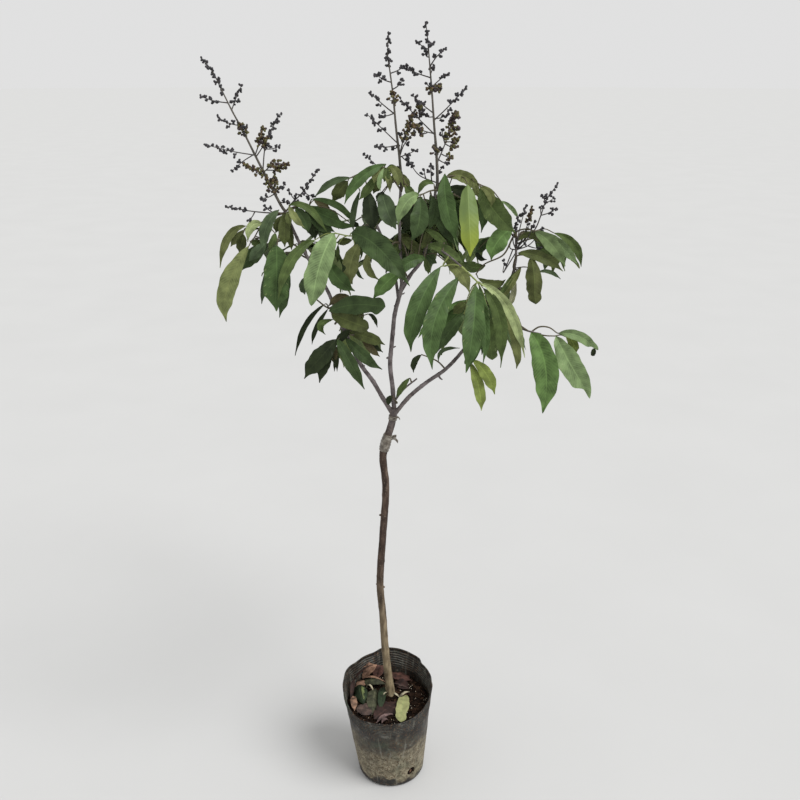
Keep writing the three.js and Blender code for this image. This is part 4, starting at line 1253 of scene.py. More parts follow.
# Panicles of flower buds: a stem, arms that leave it, and clusters of small buds on the arms
Arm = namedtuple("Arm", "start tip depth via kind bare", defaults=(None, "dark", 0.3))
Panicle = namedtuple("Panicle", "stem arms dressed_from gold_spans", defaults=(0.35, ()))
PANICLES = {
    "left_panicle": Panicle(
        ((282, 207, 15), (266.7, 178, 12), (255, 155, 10), (242.5, 130, 9), (232.5, 111.7, 8),
         (222.5, 91.7, 7), (212.5, 71.7, 6), (202.5, 59.2, 5)),
        (Arm((227.5, 103), (201, 96.7), 10), Arm((232, 111), (240.8, 86.7), 20, (236, 98), bare=0.12),
         Arm((238, 127), (217.5, 117.5), 4, (230, 123.5), bare=0.1),
         Arm((242, 130), (246, 127), 2, bare=0), Arm((254, 155), (205.8, 144.7), 0),
         Arm((254, 156), (233.3, 170), 10, (242.5, 161.7), bare=0.4),
         Arm((266, 177), (245, 165), 6, (256, 170), "gold", 0.1),
         Arm((256, 154), (263.3, 128.3), 12, kind="gold"),
         Arm((257, 157), (267, 138), 6, kind="gold", bare=0.4),
         Arm((267, 169), (279.5, 114), 14, (266, 143), bare=0.35),
         Arm((265.5, 150), (279, 146.5), 16, bare=0.3),
         Arm((267, 170), (287.5, 164.5), 10, (274, 164), "gold", 0.25),
         Arm((269, 173), (284, 168), 16, kind="gold"),
         Arm((273, 190), (275, 178), 9, kind="gold", bare=0.1), Arm((274, 193), (284, 185), 12, bare=0.3),
         Arm((274, 195), (262.5, 198.3), 10), Arm((279, 203), (288, 201.5), 10)),
        0.77, ((0.11, 0.25), (0.5, 0.6))),
    "left_low_panicle": Panicle(
        ((283, 213, 15), (272, 213, 15), (250, 211, 12), (227.5, 206.7, 10)),
        (Arm((255, 212), (249, 220), 4, bare=0.5), Arm((276, 212), (265, 207), 18)), 0.6),
    "left_inner_panicle": Panicle(
        ((287, 210, 16), (291.7, 203.3, 20), (301.7, 193.3, 23), (317.5, 170, 26)),
        (Arm((293, 198), (289, 190.8), 18), Arm((304, 192), (313.5, 196.7), 28)), 0.2),
    "centre_left_panicle": Panicle(
        ((401, 190, -5), (399.6, 158.6, -6), (396.4, 131.4, -7), (392.9, 94.3, -8), (389.3, 67, -9),
         (387.6, 55.7, -9), (388.6, 35, -10)),
        (Arm((391, 73), (405.7, 65), 0), Arm((390.5, 82), (376.4, 75), -4),
         Arm((392.4, 90), (402, 81.4), -16, bare=0.2),
         Arm((394, 114), (370.7, 93.6), 0, (384.3, 105.7), bare=0.45),
         Arm((393.5, 113.6), (380, 115.7), -14),
         Arm((397, 144.3), (367.9, 115), -10, (383.6, 130), bare=0.4),
         Arm((397, 145), (377, 146.4), -16, bare=0.4), Arm((398, 146), (393.5, 149), 0, bare=0),
         Arm((400, 157), (414, 132.5), 2, (404.3, 144.3), bare=0.45),
         Arm((400.3, 156), (412, 115), -12, (404, 138), "gold", 0.35),
         Arm((403, 142), (400, 134), -4, bare=0), Arm((405, 135), (415, 124), -18, kind="gold", bare=0.2),
         Arm((400.4, 158), (416.4, 150), -10, (409, 153.6), bare=0.2),
         Arm((402, 158), (411, 163), -6, bare=0.2), Arm((401, 186), (365, 155), 0, (384, 172), bare=0.75)),
        0.8, ((0.55, 0.65),)),
    "centre_right_panicle": Panicle(
        ((437, 186, -15), (436.4, 153, -14), (434.3, 127, -13), (431.9, 91.4, -12), (429.6, 62.9, -11),
         (427.6, 38.6, -10), (426, 24.3, -10)),
        (Arm((428, 50), (417.9, 42.1), -4, bare=0.1), Arm((428, 47), (433, 44), -16, bare=0.4),
         Arm((429, 58), (425, 54), -4, bare=0), Arm((430, 66.4), (444.3, 49.3), -16, (436.4, 57)),
         Arm((430, 74), (433, 66), -2, bare=0),
         Arm((429.5, 78.6), (407, 68.6), 0, (417.9, 73.5), bare=0.4),
         Arm((431, 88), (427, 84), -18, bare=0), Arm((431, 88), (447, 74.3), 0, (440, 79.5), bare=0.5),
         Arm((431.5, 91), (440, 85.5), -6, kind="gold", bare=0.1),
         Arm((431, 80), (430, 92), -12, kind="gold", bare=0.3),
         Arm((433, 113.6), (412.9, 95.7), -20, (423, 105)),
         Arm((433.5, 134.3), (399.3, 97.9), 0, (415, 115), bare=0.3),
         Arm((418, 119), (419, 105), 4, kind="gold", bare=0.1), Arm((433, 117), (424, 115), -2, bare=0.4),
         Arm((433, 134.5), (414, 126), -20, kind="gold", bare=0.4),
         Arm((428, 132), (421, 133), -16, bare=0.5),
         Arm((435, 120), (465, 88.6), -20, (446.4, 108.6), bare=0.4),
         Arm((434.7, 119), (447, 115), -8, bare=0.4),
         Arm((437.5, 163), (453.6, 112.5), -10, (447.5, 137), "gold", 0.4),
         Arm((452, 122), (457, 114), -16, kind="gold", bare=0),
         Arm((449, 132), (457.5, 128), -14, kind="gold", bare=0),
         Arm((446, 142), (458, 139), -6, kind="gold", bare=0.35),
         Arm((446, 143), (456, 147), -16, kind="gold", bare=0.35),
         Arm((445, 143), (442, 131), -6, bare=0.3),
         Arm((441, 154), (452, 157), -12, kind="gold", bare=0.3),
         Arm((439, 160), (448, 163), -8, bare=0.3),
         Arm((436.5, 153), (433, 147), -18, kind="gold", bare=0),
         Arm((436.8, 155), (440, 149), -4, bare=0.2), Arm((437, 171), (442, 168), -8, bare=0.3),
         Arm((436, 182), (408, 160), -10, (419, 175), bare=0.75),
         Arm((425, 179), (424.3, 171), -14, bare=0.2), Arm((433, 178), (430.7, 165.7), -18, bare=0.2)),
        0.88, ()),
    "right_panicle": Panicle(
        ((515.5, 250, 24), (524, 240, 24), (534.9, 229.4, 25), (541, 215, 25), (546, 200.8, 25),
         (557.3, 184.5, 25)),
        (Arm((541, 215), (555.3, 209), 30), Arm((546, 200.8), (543, 195.7), 20),
         Arm((546, 203), (553.3, 198.3), 20), Arm((541, 215), (540.5, 207), 22),
         Arm((513, 266), (519, 216), 20, (513, 240), bare=0.7),
         Arm((514, 262), (525.5, 207), 16, (519, 232), bare=0.75),
         Arm((515, 262), (532, 208), 28, (524, 235), "gold", 0.68),
         Arm((513, 266), (516, 229), 25, (510, 248), bare=0.6),
         Arm((515, 262), (534.5, 222), 18, (525, 243), bare=0.75),
         Arm((514, 264), (543, 229), 20, (529, 245), bare=0.85),
         Arm((514, 266), (524.5, 244), 18, bare=0.7),
         Arm((508, 284), (504.5, 262), 16, (503, 273), bare=0.85),
         Arm((510, 280), (529, 226), 30, (516, 252), bare=0.85),
         Arm((536, 262), (541, 248), 12, bare=0.6)),
        0.7, ()),
}
LARGE_PANICLE = 120  # from this length of stem on, a panicle is a stout one
STEM_POINTS = 90
ARM_POINTS = 26
PANICLE_SEED = 101
BUD_RADIUS = (1.35, 1.85)
BRANCHLET_STEP = 5.3  # along an arm, from one branchlet to the next
BRANCHLET_TURN = 2.4  # radians round the arm between two branchlets
SHORTEST_BRANCHLET = 2
GOLD_STEP = 0.5  # how much closer the golden clusters sit


def ball(subdivisions):
    """The points and faces of one ball, made once and copied for every bud or crumb."""
    shape = bmesh.new()
    bmesh.ops.create_icosphere(shape, subdivisions=subdivisions, radius=1)
    points = np.array([vertex.co for vertex in shape.verts])
    faces = [tuple(vertex.index for vertex in face.verts) for face in shape.faces]
    shape.free()
    return points, faces


# What one panicle is made with: its two sheaves, a bud's shape, the materials by kind and the
# source of random numbers
Bloom = namedtuple("Bloom", "stems buds shape materials rng")


def add_cluster(bloom, spot, heading, count, kind):
    """Round buds set close together, each a little longer than wide."""
    points, faces = bloom.shape
    shades = bloom.materials[kind]
    rng = bloom.rng
    for _ in range(count):
        outward = unit(heading * rng.uniform(0.1, 0.9) + rng.normal(size=3))
        radius = rng.uniform(*BUD_RADIUS)
        material = shades[int(rng.integers(len(shades)))]
        stretched = points * radius + np.outer(points @ outward, outward) * radius * 0.3
        bloom.buds.add(stretched + spot + outward * radius * rng.uniform(0.9, 1.5), faces, material)


def dress_arm(bloom, path, bare, longest, kind):
    """Sets branchlets with clusters of buds along an arm, the shortest ones at its tip."""
    rng = bloom.rng
    length = path_length(path)
    last = len(path) - 1
    step = BRANCHLET_STEP * (GOLD_STEP if kind == "gold" else 1)
    share, turn = 1.0, rng.uniform(0, 2 * math.pi)
    while share > bare:
        index = round(share * last)
        spot = path[index]
        heading = unit(path[min(last, index + 2)] - path[max(0, index - 2)])
        side = unit(np.cross(heading, (0.3, 1, 0.2)))
        outward = side * math.cos(turn) + np.cross(heading, side) * math.sin(turn)
        reach = longest * (0.2 + 0.8 * min(1, (1 - share) / 0.55)) * rng.uniform(0.75, 1.2)
        end = spot + unit(heading * 0.55 + outward) * reach
        if reach > SHORTEST_BRANCHLET:
            middle = (spot + end) / 2
            tube(bloom.stems, (spot, middle, end), tapered(0.5, 0.4), 5, bloom.materials["stem"])
            add_cluster(bloom, middle, outward, 1, kind)
        add_cluster(bloom, end, heading, int(rng.integers(3, 6)), kind)
        turn += BRANCHLET_TURN
        share -= step * rng.uniform(0.75, 1.2) / length


def panicle_stem(bloom, panicle, wood):
    """A panicle's main stem with the clusters that it carries itself; returns its path."""
    points = [photo_point(*spot) for spot in panicle.stem]
    points.insert(0, nearest(wood, points[0]))
    path = resampled(smooth_curve(points), STEM_POINTS)
    length = path_length(path)
    large = length > LARGE_PANICLE
    radius, kind = (2.2, "main") if large else (1.2, "stem")
    tube(bloom.stems, path, tapered(radius, 0.6), 8, bloom.materials[kind],
         bark_relief(length, radius, 0.05))
    dress_arm(bloom, path, panicle.dressed_from, 7 if large else 5, "dark")
    for span in panicle.gold_spans:
        first, last = [round(share * (STEM_POINTS - 1)) for share in span]
        dress_arm(bloom, path[first:last], 0, 8, "gold")
    return path


def arm_path(arm, known, depth):
    """One arm's path, from the nearest stem or arm there is; depth is the main stem's mean."""
    start = nearest(known, photo_point(*arm.start, arm.depth * 0.3 + depth * 0.7))
    tip = photo_point(*arm.tip, arm.depth)
    middle = photo_point(*arm.via, arm.depth) if arm.via else (start + tip) / 2 - UP * 1.5
    return resampled(smooth_curve((start, middle, tip)), ARM_POINTS)


def build_panicle(bloom, name, panicle, wood):
    """One panicle: its stem, and its arms one after another."""
    known = panicle_stem(bloom, panicle, wood)
    depth = known[:, 1].mean()
    for arm in panicle.arms:
        path = arm_path(arm, known, depth)
        tube(bloom.stems, path, tapered(1.0, 0.55), 6, bloom.materials["stem"])
        known = np.concatenate([known, path])
        dress_arm(bloom, path, arm.bare, 5.5, arm.kind)
    bloom.stems.finish(f"{name}_stems", name, "flower_buds")
    bloom.buds.finish(f"{name}_buds", name, "flower_buds", sharp=80)


BUD_SHADES = {"dark": ("3b383b", "343436"), "gold": ("4c3f2b", "52502f", "3c3334")}


def build_panicles(paths):
    """Every panicle, each with its own seed."""
    materials = {
        "stem": soft_material("panicle_stem", "44403e", 0.7, specular=0.3),
        "main": soft_material("panicle_main_stem", "4f4b44", 0.7, 0.2, 40, 0.3),
    }
    for kind, codes in BUD_SHADES.items():
        materials[kind] = [soft_material(f"bud_{code}", code, 0.75, 0.3, 220, 0.3) for code in codes]
    wood = np.concatenate(list(paths.values()))
    shape = ball(2)
    for number, (name, panicle) in enumerate(PANICLES.items()):
        rng = np.random.default_rng(PANICLE_SEED + number)
        build_panicle(Bloom(Sheaf(), Sheaf(), shape, materials, rng), name, panicle, wood)


# The graft film and the upper tie, wound round the trunk. A band spans two heights; winding is how
# far one turn climbs, and ends are the loose ends that stand off at its point number `foot`. Each
# end has a turn in degrees, its start's distance from the trunk's middle, length, rise, drop and width.
Band = namedtuple("Band", "low high winding foot ends")
LooseEnd = namedtuple("LooseEnd", "turn start length rise drop width")
BANDS = {
    "graft_film": Band(628, 658, 5.2, 44, (
        LooseEnd(-25, 6.4, 13, 2, -3, 4.6), LooseEnd(15, 6.4, 9, 2, 2, 4.6))),
    "upper_tie": Band(680, 689, 3.2, 30, (
        LooseEnd(-70, 6.0, 6, 1.5, -2, 2.6), LooseEnd(-20, 6.0, 6, 1.5, -2, 2.6))),
}
BAND_POINTS = 60
FILM_THICKNESS = 1.0
FILM_HALF = 0.14  # half the thickness of a loose end


def add_loose_end(sheaf, foot, end, material):
    """A thin closed ribbon that starts on the trunk and stands off it."""
    out = level_direction(math.radians(end.turn))
    start = foot + out * end.start
    top, tip = start + out * end.length * 0.5 + UP * end.rise, start + out * end.length + UP * end.drop
    path = smooth_curve((start, top, tip), 6)
    wide = unit((0.1, 0.25, 1))
    points = []
    for spot, direction in zip(path, np.gradient(path, axis=0)):
        thin = unit(np.cross(direction, wide)) * FILM_HALF
        for sign, face in ((-1, -1), (1, -1), (1, 1), (-1, 1)):
            points.append(spot + wide * sign * end.width / 2 + thin * face)
    sheaf.add(points, closed_grid(len(path), 4), material)


def wind_band(sheaf, band, trunk, material):
    """The turns of film round the trunk; returns their path."""
    inside = [spot for spot in trunk if band.low <= spot[2] <= band.high]
    path = resampled(np.array(inside), BAND_POINTS)

    def radius_at(share):
        edge = min(share, 1 - share) * 30
        height = path[round(share * (BAND_POINTS - 1))][2]
        return trunk_radius(height) + FILM_THICKNESS * min(1, 0.35 + edge)

    def relief(share, angle, point):
        turns = (point[2] / band.winding + angle / (2 * math.pi)) % 1
        return 0.55 * (1 - turns) ** 2 + 0.45 * noise.noise(Vector(point * 0.5))

    tube(sheaf, path, radius_at, 40, material, relief)
    return path


def build_bindings(trunk):
    """The film round the graft and the tie above it, each with its loose ends."""
    film = film_material()
    for name, band in BANDS.items():
        sheaf = Sheaf()
        path = wind_band(sheaf, band, trunk, film)
        for end in band.ends:
            add_loose_end(sheaf, path[band.foot], end, film)
        sheaf.finish(f"{name}_wrap", name, "film")


# The pot: the frame's soft cup with ribs under its lip, creases and drain holes
POT_BASE_RADIUS = 58
POT_RIM_RADIUS = 79
POT_RIM_HEIGHT = 171
POT_WALL = 1.8
POT_EDGE = 6
POT_LEAN = 6  # how far the rim stands to the left of the base
POT_OVAL = 0.05  # how much deeper than wide the rim is, as a share
FLEX_FROM = 60  # above this height the wall is stretched to the slanting lip
LIP_TILT = 15
LIP_HIGH_SIDE = 85  # degrees
TONGUE = 6  # how far the lip's tongue stands up at the back
TONGUE_SPAN = (39, 43, 96, 112)  # degrees where it begins to rise, is up, begins to fall and ends
LIP_DENT = 7
POT_FLOOR = 3
LOW_RINGS = 40  # rings of points up to the ribs
RIB_RINGS = 58
POT_SHARP = 40  # degrees between two faces, from which on their edge looks sharp
POT_TURNS = 216
RIB_BAND = 32  # how far the ribs reach below the lip
RIB_PITCH = 4.0
RIB_DEPTH = 0.5
AXIS_GAP = 0.5  # the radius of the innermost ring of points of a floor
DRAIN_SIDES = (-53, 60, 165)  # degrees
DRAIN_HEIGHT = 28.5
DRAIN_RADIUS = 8
DRAIN_CORNERS = 24


def lip_height(degrees):
    """The soft lip's height round the pot: it slants, has a tongue at the back and a dented left side."""
    turn = degrees % 360
    tilt = LIP_TILT * math.cos(math.radians(turn - LIP_HIGH_SIDE))
    tongue = smoothstep(turn, *TONGUE_SPAN[:2]) * (1 - smoothstep(turn, *TONGUE_SPAN[2:]))
    dent = math.exp(-(((turn - 215) / 28) ** 2)) - 1.15 * math.exp(-(((turn - 158) / 15) ** 2))
    return POT_RIM_HEIGHT + tilt + TONGUE * tongue - LIP_DENT * dent


def wall_radius(height):
    """The outer radius of the plain turned pot."""
    return POT_BASE_RADIUS + (POT_RIM_RADIUS - POT_BASE_RADIUS) * height / POT_RIM_HEIGHT


def pot_point(azimuth, radius, height, follow_lip=True):
    """A point of the turned profile, stretched to the lip, leaned and ovalled like the soft pot."""
    placed = height
    if follow_lip and height > FLEX_FROM:
        stretch = (lip_height(azimuth) - FLEX_FROM) / (POT_RIM_HEIGHT - FLEX_FROM)
        placed = FLEX_FROM + (height - FLEX_FROM) * stretch
    widened = radius * wall_radius(placed) / wall_radius(height)
    share = placed / POT_RIM_HEIGHT
    angle = math.radians(azimuth)
    return np.array([
        widened * math.cos(angle) - POT_LEAN * share,
        widened * math.sin(angle) * (1 + POT_OVAL * share), placed])


def crease(azimuth, height):
    """How far the soft wall is pushed in or out."""
    angle = math.radians(azimuth)
    spot = Vector((math.cos(angle) * 1.6, math.sin(angle) * 1.6, height * 0.012))
    fine = Vector((math.cos(angle) * 6, math.sin(angle) * 6, height * 0.05))
    softness = smoothstep(height, 12, 120)
    return (2.1 * noise.noise(spot) + 0.9 * noise.noise(fine)) * softness


def rib(height):
    """The fine ribs that run round the pot just under its lip."""
    below = POT_RIM_HEIGHT - height
    fade = smoothstep(below, 2, 4) * (1 - smoothstep(below, RIB_BAND - 4, RIB_BAND))
    return math.cos(2 * math.pi * below / RIB_PITCH) * fade


def pot_profile():
    """(radius, height, is wall) from the underside's middle, over the lip, to the floor's middle."""
    flat = POT_BASE_RADIUS - POT_EDGE
    profile = [(radius, 0, False) for radius in (AXIS_GAP, 30, 46, flat)]
    for step in range(1, 6):
        angle = step / 6 * math.pi / 2
        radius = POT_BASE_RADIUS - POT_EDGE * (1 - math.sin(angle))
        profile.append((radius, POT_EDGE * (1 - math.cos(angle)), False))
    heights = [*np.linspace(POT_EDGE, POT_RIM_HEIGHT - RIB_BAND, LOW_RINGS)]
    heights += [*np.linspace(POT_RIM_HEIGHT - RIB_BAND, POT_RIM_HEIGHT - 1.6, RIB_RINGS)[1:]]
    profile += [(wall_radius(height), height, True) for height in heights]
    bead = POT_WALL / 2 + 0.25
    centre = wall_radius(POT_RIM_HEIGHT) - POT_WALL / 2
    for step in range(7):
        angle = math.pi * step / 6
        height = POT_RIM_HEIGHT - 1.1 + 1.1 * math.sin(angle)
        profile.append((centre + bead * math.cos(angle), height, True))
    profile += [(wall_radius(height) - POT_WALL, height, True) for height in reversed(heights[20:])]
    inside = ((POT_BASE_RADIUS - POT_WALL, 40), (flat, POT_FLOOR), (AXIS_GAP, POT_FLOOR))
    return profile + [(radius, height, False) for radius, height in inside]


def drain_cutter(side):
    """A short round rod through the wall where a drain hole is, a little taller than wide."""
    centre = pot_point(side, wall_radius(DRAIN_HEIGHT), DRAIN_HEIGHT)
    out = level_direction(math.radians(side))
    across = np.cross(UP, out)
    points = []
    for reach in (-12, 12):
        for index in range(DRAIN_CORNERS):
            angle = math.radians(360 / DRAIN_CORNERS * index)
            offset = DRAIN_RADIUS * (across * math.cos(angle) + UP * 1.1 * math.sin(angle))
            points.append(tuple((centre + out * reach + offset) * MM))
    mesh = bpy.data.meshes.new("drain_cutter")
    mesh.from_pydata(points, [], closed_grid(2, DRAIN_CORNERS))
    cutter = bpy.data.objects.new("drain_cutter", mesh)
    bpy.context.scene.collection.objects.link(cutter)
    return cutter


def cut_drain(pot, side):
    """Cuts one drain hole through the pot's wall."""
    cutter = drain_cutter(side)
    cut = pot.modifiers.new("drain", "BOOLEAN")
    cut.operation = "DIFFERENCE"
    cut.solver = "EXACT"
    cut.object = cutter
    bpy.context.view_layer.objects.active = pot
    bpy.ops.object.modifier_apply(modifier=cut.name)
    bpy.data.objects.remove(cutter)


def build_pot(material):
    """The wall with its ribs and creases, whose marks say where grooves lie, and its drain holes."""
    profile = pot_profile()
    points, grooves = [], []
    for radius, height, is_wall in profile:
        for index in range(POT_TURNS):
            azimuth = 360 * index / POT_TURNS
            relief = crease(azimuth, height) + RIB_DEPTH * rib(height) if is_wall else 0
            points.append(pot_point(azimuth, radius + relief, height))
        grooves += [-rib(height) if is_wall else 0.0] * POT_TURNS
    sheaf = Sheaf()
    sheaf.add(points, closed_grid(len(profile), POT_TURNS), material, grooves)
    pot = sheaf.finish("pot_wall", "pot", "pot_plastic", sharp=POT_SHARP)
    for side in DRAIN_SIDES:
        cut_drain(pot, side)
    pot.data.set_sharp_from_angle(angle=math.radians(POT_SHARP))


# The soil: a crumbly bed with loose crumbs, pale grains and fallen leaves
SOIL_PLAY = 2.4
SOIL_BOTTOM = 3.4
SOIL_TURNS = 150
SOIL_RINGS = 46
SOIL_SEED = 301
TRUNK_CLEARANCE = 10  # no loose lump lies nearer to the trunk's middle


def from_trunk(x, y):
    """How far a place on the soil is from the trunk's middle."""
    return math.hypot(x - TRUNK_ROUTE[0][0], y - TRUNK_ROUTE[0][1])


def soil_height(x, y):
    """How high the soil stands at a place; it is level where the trunk comes out of it."""
    waves = noise.noise(Vector((x * 0.05, y * 0.05, 0))) * 2.2
    lumps = noise.noise(Vector((x * 0.22, y * 0.22, 5))) * 1.1
    fine = noise.noise(Vector((x * 0.7, y * 0.7, 9))) * 0.6
    away = smoothstep(from_trunk(x, y), 8, 30)
    return SOIL_TOP - away + (waves - 0.8) * away + lumps + fine


def build_soil_bed(material):
    """The bed from the middle of its top, down its side, to the middle of its bottom."""
    azimuths = [360 * turn / SOIL_TURNS for turn in range(SOIL_TURNS)]
    points = []
    rim = wall_radius(SOIL_TOP) - SOIL_PLAY
    for index in range(SOIL_RINGS + 1):
        radius = max(AXIS_GAP, rim * index / SOIL_RINGS)
        for azimuth in azimuths:
            x, y, _ = pot_point(azimuth, radius, SOIL_TOP, follow_lip=False)
            points.append((x, y, soil_height(x, y)))
    low_rings = (
        (wall_radius(12) - SOIL_PLAY, 12), (POT_BASE_RADIUS - POT_EDGE, SOIL_BOTTOM),
        (AXIS_GAP, SOIL_BOTTOM))
    for radius, height in low_rings:
        points += [pot_point(azimuth, radius, height, follow_lip=False) for azimuth in azimuths]
    faces = closed_grid(SOIL_RINGS + 1 + len(low_rings), SOIL_TURNS)
    bed = Sheaf()
    bed.add(points, [tuple(reversed(face)) for face in faces], material)
    bed.finish("soil_bed", "soil", "soil")


def scatter(sheaf, shape, count, sizes, flatness, materials, rng):
    """Loose lumps on the soil, each a dented ball pressed a little into the bed."""
    points, faces = shape
    for _ in range(count):
        radius = (wall_radius(SOIL_TOP) - SOIL_PLAY - 4) * math.sqrt(rng.uniform(0, 1))
        x, y, _ = pot_point(rng.uniform(0, 360), radius, SOIL_TOP, follow_lip=False)
        if from_trunk(x, y) < TRUNK_CLEARANCE:
            continue
        size = rng.uniform(*sizes)
        dents = 1 + 0.35 * rng.normal(size=(len(points), 1)).clip(-1, 1)
        lump = points * dents * size * np.array([rng.uniform(0.7, 1.4), rng.uniform(0.7, 1.4), flatness])
        angle = rng.uniform(0, math.pi)
        side = level_direction(angle)
        height = soil_height(x, y) + size * flatness * 0.45
        material = materials[int(rng.integers(len(materials)))]
        axes = np.array([side, np.cross(UP, side), UP])
        sheaf.add(lump @ axes + np.array([x, y, height]), faces, material)


# Fallen leaves on the soil, as pixels of the photograph: two ends, width, tone and how far they arch
Fallen = namedtuple("Fallen", "start end width tone lift")
FALLEN = (
    Fallen((374, 719), (397, 702), 15, "litter_wine", 2),
    Fallen((356, 708), (375, 713), 12, "litter_plum", 3),
    Fallen((374, 680), (383, 665), 9, "litter_rust", 4),
    Fallen((393, 683), (409, 688), 8, "litter_plum", 4),
    Fallen((394, 677), (407, 682), 6, "litter_rust", 3),
    Fallen((351, 700), (354, 680), 4, "litter_wine", 8),
    Fallen((353, 681), (373, 665), 4, "litter_wine", 8),
    Fallen((363, 679), (376, 664), 12, "litter_tan", 6),
    Fallen((373, 677), (384, 667), 11, "litter_rust", 8),
    Fallen((391, 673), (412, 681), 14, "litter_rust", 4),
    Fallen((394, 684), (409, 689), 9, "litter_wine", 6),
    Fallen((382, 704), (402, 712), 13, "litter_wine", 3),
    Fallen((362, 678), (385, 682), 3, "litter_tan", 8),
    Fallen((355, 687), (368, 681), 8, "litter_tan", 5),
    Fallen((361, 684), (386, 684), 8, "litter_moss", 9),
    Fallen((357, 685), (363, 706), 12, "litter_painted_shade_green", 10),
    Fallen((363, 686), (365, 705), 4, "litter_lime", 11),
    Fallen((376, 688), (372, 714), 12, "litter_moss", 9),
    Fallen((384, 687), (380, 712), 7, "litter_painted_shade_green", 10),
    Fallen((366, 688), (374, 693), 2, "litter_straw", 12),
    Fallen((353.5, 696), (354.2, 711), 6, "litter_tan", 4),
    Fallen((376, 723), (393, 714), 4, "litter_rose", 8),
    Fallen((382, 723.5), (388, 720), 3, "litter_rose", 8),
    Fallen((380, 700), (387, 694), 5, "litter_straw", 9),
    Fallen((391, 692), (400, 698), 2, "litter_straw", 4),
    Fallen((399, 698), (410, 692), 2.5, "litter_straw", 6),
    Fallen((405.5, 695), (400, 722), 11.5, "litter_pale", 6),
)
LITTER_PLAY = 6  # between the wall and a fallen leaf's midrib
HIGHEST_LITTER = 30  # above the soil
LITTER_CLEARANCE = 2
LITTER_PIXEL = 1.75  # millimetres across one pixel at the soil
LITTER_WIDER = 1.15  # how much wider a curled leaf is than it shows
LITTER = {
    "litter_pale": ("8f9163", "8e9068", "8b9262"),
    "litter_lime": ("4f5834", "505836", "5c643c"),
    # This tone is painted shade: the near-black of green fallen leaves that lie in deep shade beside the
    # trunk.
    "litter_painted_shade_green": ("1f2919", "343c2a", "2f3a26"),
    "litter_moss": ("38392a", "423f30", "4c4b3a"),
    "litter_straw": ("8f8873", "857e69", "9c9580"),
    "litter_tan": ("735a4a", "75604f", "846a5a"),
    "litter_rust": ("46302a", "4a362c", "573f34"),
    "litter_plum": ("40342f", "443832", "52443c"),
    "litter_wine": ("2a1c18", "2c1f1a", "3a2a26"),
    "litter_rose": ("6a5754", "6e5c59", "806c68"),
}


def inside_pot(spot):
    """Whether a point is clear of the pot's wall."""
    share = spot[2] / POT_RIM_HEIGHT
    radius = math.hypot(spot[0] + POT_LEAN * share, spot[1] / (1 + POT_OVAL * share))
    return radius < wall_radius(spot[2]) - POT_WALL - LITTER_PLAY


def litter_point(px, py, lift):
    """A pixel's point at a lift above the soil, or as much higher as it takes to be inside the pot."""
    away, rise = ray_slopes(py)
    for height in range(SOIL_TOP, SOIL_TOP + HIGHEST_LITTER):
        reach = (height + lift - CAMERA_PLACE[2]) / rise
        spot = photo_point(px, py, CAMERA_PLACE[1] + reach * away)
        if inside_pot(spot):
            break
    return spot


def litter_materials():
    """For each tone the materials of a fallen leaf's upper side, underside and midrib."""
    made = {}
    for name, codes in LITTER.items():
        contrast = 0.12 if name == "litter_pale" else 0.4
        made[name] = tuple(
            soft_material(f"{name}_{part}", code, 0.7, contrast, patch=130, specular=0.25)
            for part, code in zip(("top", "under", "rib"), codes))
    return made


def build_litter(rng):
    """The fallen leaves; the pale one has a blunt tip."""
    leaves = Sheaf()
    tones = litter_materials()
    for fallen in FALLEN:
        start = litter_point(*fallen.start, LITTER_CLEARANCE)
        end = litter_point(*fallen.end, LITTER_CLEARANCE)
        middle = (start + end) / 2 + UP * fallen.lift
        facing = unit(UP + rng.normal(size=3) * 0.3)
        width = fallen.width * LITTER_PIXEL * LITTER_WIDER
        tip_width = 2 if fallen.tone == "litter_pale" else 0.6
        shape = Shape((start, middle, end), facing, width, rng.uniform(-20, 30), (), tip_width)
        add_blade(leaves, blade_surface(shape, rng), tones[fallen.tone])
    leaves.finish("fallen_leaves", "soil", "soil", sharp=60)


DRAINED_SIZE = 7.5  # half the height of a lump in a drain hole
DRAINED_DEPTH = 4.2  # from the wall's outer face to the middle of the soil that fills a drain hole


def fill_drains(crumbs, shape, rng):
    """A narrow upright lump of soil behind each drain hole."""
    points, faces = shape
    material = soft_material("drained_soil", "4a3424", 0.95, contrast=0.4, patch=300)
    for side in DRAIN_SIDES:
        spot = pot_point(side, wall_radius(DRAIN_HEIGHT) - DRAINED_DEPTH, DRAIN_HEIGHT)
        dents = 1 + 0.12 * rng.normal(size=(len(points), 1))
        crumbs.add(points * DRAINED_SIZE * dents * (0.4, 0.4, 1) + spot, faces, material)


# Loose lumps on the soil: how many, their smallest and largest radius, and how flat they are
CRUMBS = ((900, (0.9, 2.6), 0.8), (90, (2.6, 4.6), 0.7))
GRAINS = (240, (0.5, 1.1), 0.9)
CRUMB_SHADES = ("160e0a", "231811", "33241a")


def build_soil(shape):
    """The bed, its crumbs and pale grains, the soil in the drain holes and the fallen leaves."""
    build_soil_bed(soil_material())
    rng = np.random.default_rng(SOIL_SEED)
    crumbs = Sheaf()
    crumb_materials = [
        soft_material(f"crumb_{index}", code, 0.95, contrast=0.35, patch=400, specular=0.1)
        for index, code in enumerate(CRUMB_SHADES)]
    for lumps in CRUMBS:
        scatter(crumbs, shape, *lumps, crumb_materials, rng)
    fill_drains(crumbs, shape, rng)
    crumbs.finish("soil_crumbs", "soil", "soil", sharp=30)
    grains = Sheaf()
    pale = soft_material("grain_pale", "a59a88", 0.8, contrast=0.3, patch=500)
    scatter(grains, shape, *GRAINS, [pale], rng)
    grains.finish("soil_grains", "soil", "soil", sharp=30)
    build_litter(rng)


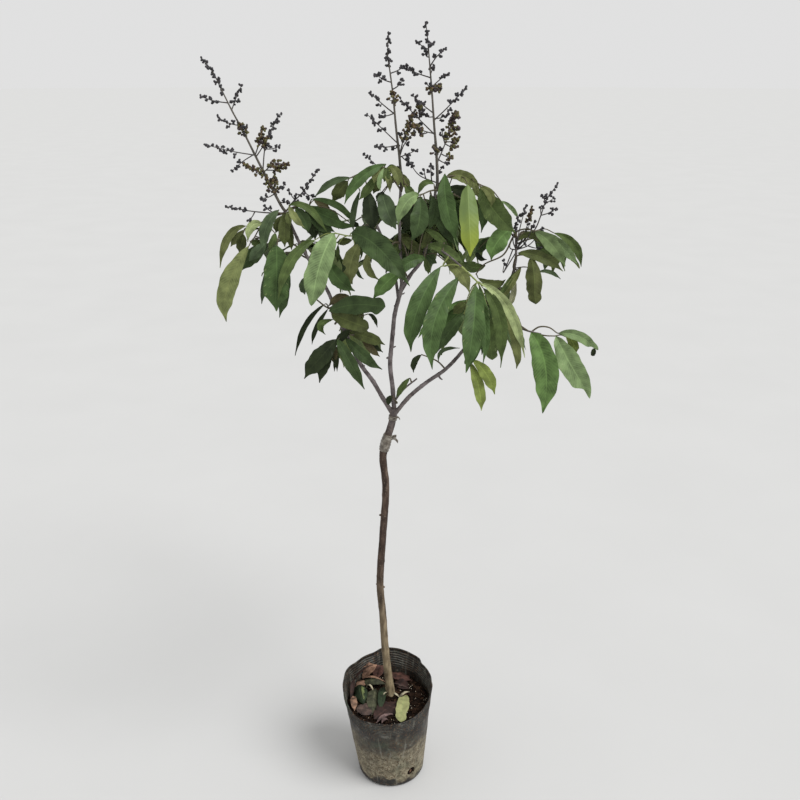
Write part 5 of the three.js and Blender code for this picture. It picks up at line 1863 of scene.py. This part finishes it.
# The stage: a pale floor, soft light and the camera
FLOOR_REACH = 60  # metres
FLOOR_CORNERS = 64
SKY_LIGHT = 0.75
SUN_LIGHT = 2.6
SUN_SPREAD = math.radians(38)
SUN_HEADING = (-0.75, 0.45, -1.0)


def build_stage():
    """A round pale floor, far wider than the picture."""
    mesh = bpy.data.meshes.new("floor")
    turns = [2 * math.pi * index / FLOOR_CORNERS for index in range(FLOOR_CORNERS)]
    corners = [tuple(level_direction(turn) * FLOOR_REACH) for turn in turns]
    mesh.from_pydata(corners, [], [tuple(range(FLOOR_CORNERS))])
    floor = bpy.data.objects.new("floor", mesh)
    bpy.context.scene.collection.objects.link(floor)
    material, shader, place = start_material("pale_floor", 0.95, 0.0)
    tint = add_ramp(material, add_noise(material, place, 3), ((0.3, "c1c1c0"), (0.7, "c3c3c2")))
    set_colour(material, shader, tint)
    mesh.materials.append(material)


def build_light():
    """An even white sky and one soft sun."""
    world = bpy.data.worlds.new("studio")
    bpy.context.scene.world = world
    world.use_nodes = True
    background = world.node_tree.nodes["Background"]
    background.inputs["Color"].default_value = (1.0, 1.0, 1.0, 1.0)
    background.inputs["Strength"].default_value = SKY_LIGHT
    data = bpy.data.lights.new("key", "SUN")
    data.energy = SUN_LIGHT
    data.angle = SUN_SPREAD
    key = bpy.data.objects.new("key", data)
    key.rotation_euler = Vector(SUN_HEADING).to_track_quat("-Z", "Y").to_euler()
    bpy.context.scene.collection.objects.link(key)
    bpy.context.scene.view_settings.view_transform = "Standard"


def build_camera():
    """The camera that stands where the photographer stood."""
    data = bpy.data.cameras.new("camera")
    data.sensor_width = SENSOR
    data.lens = FOCAL_PIXELS / PICTURE * SENSOR
    camera = bpy.data.objects.new("camera", data)
    camera.location = CAMERA_PLACE * MM
    camera.rotation_euler = (math.pi / 2 - CAMERA_PITCH, 0, 0)
    bpy.context.scene.collection.objects.link(camera)
    bpy.context.scene.camera = camera


build_camera()
build_stage()
build_light()
limb_paths = build_bark(bark_material())
build_bindings(limb_paths["trunk"])
build_foliage(limb_paths, leaf_materials())
build_panicles(limb_paths)
build_pot(pot_material())
build_soil(ball(1))
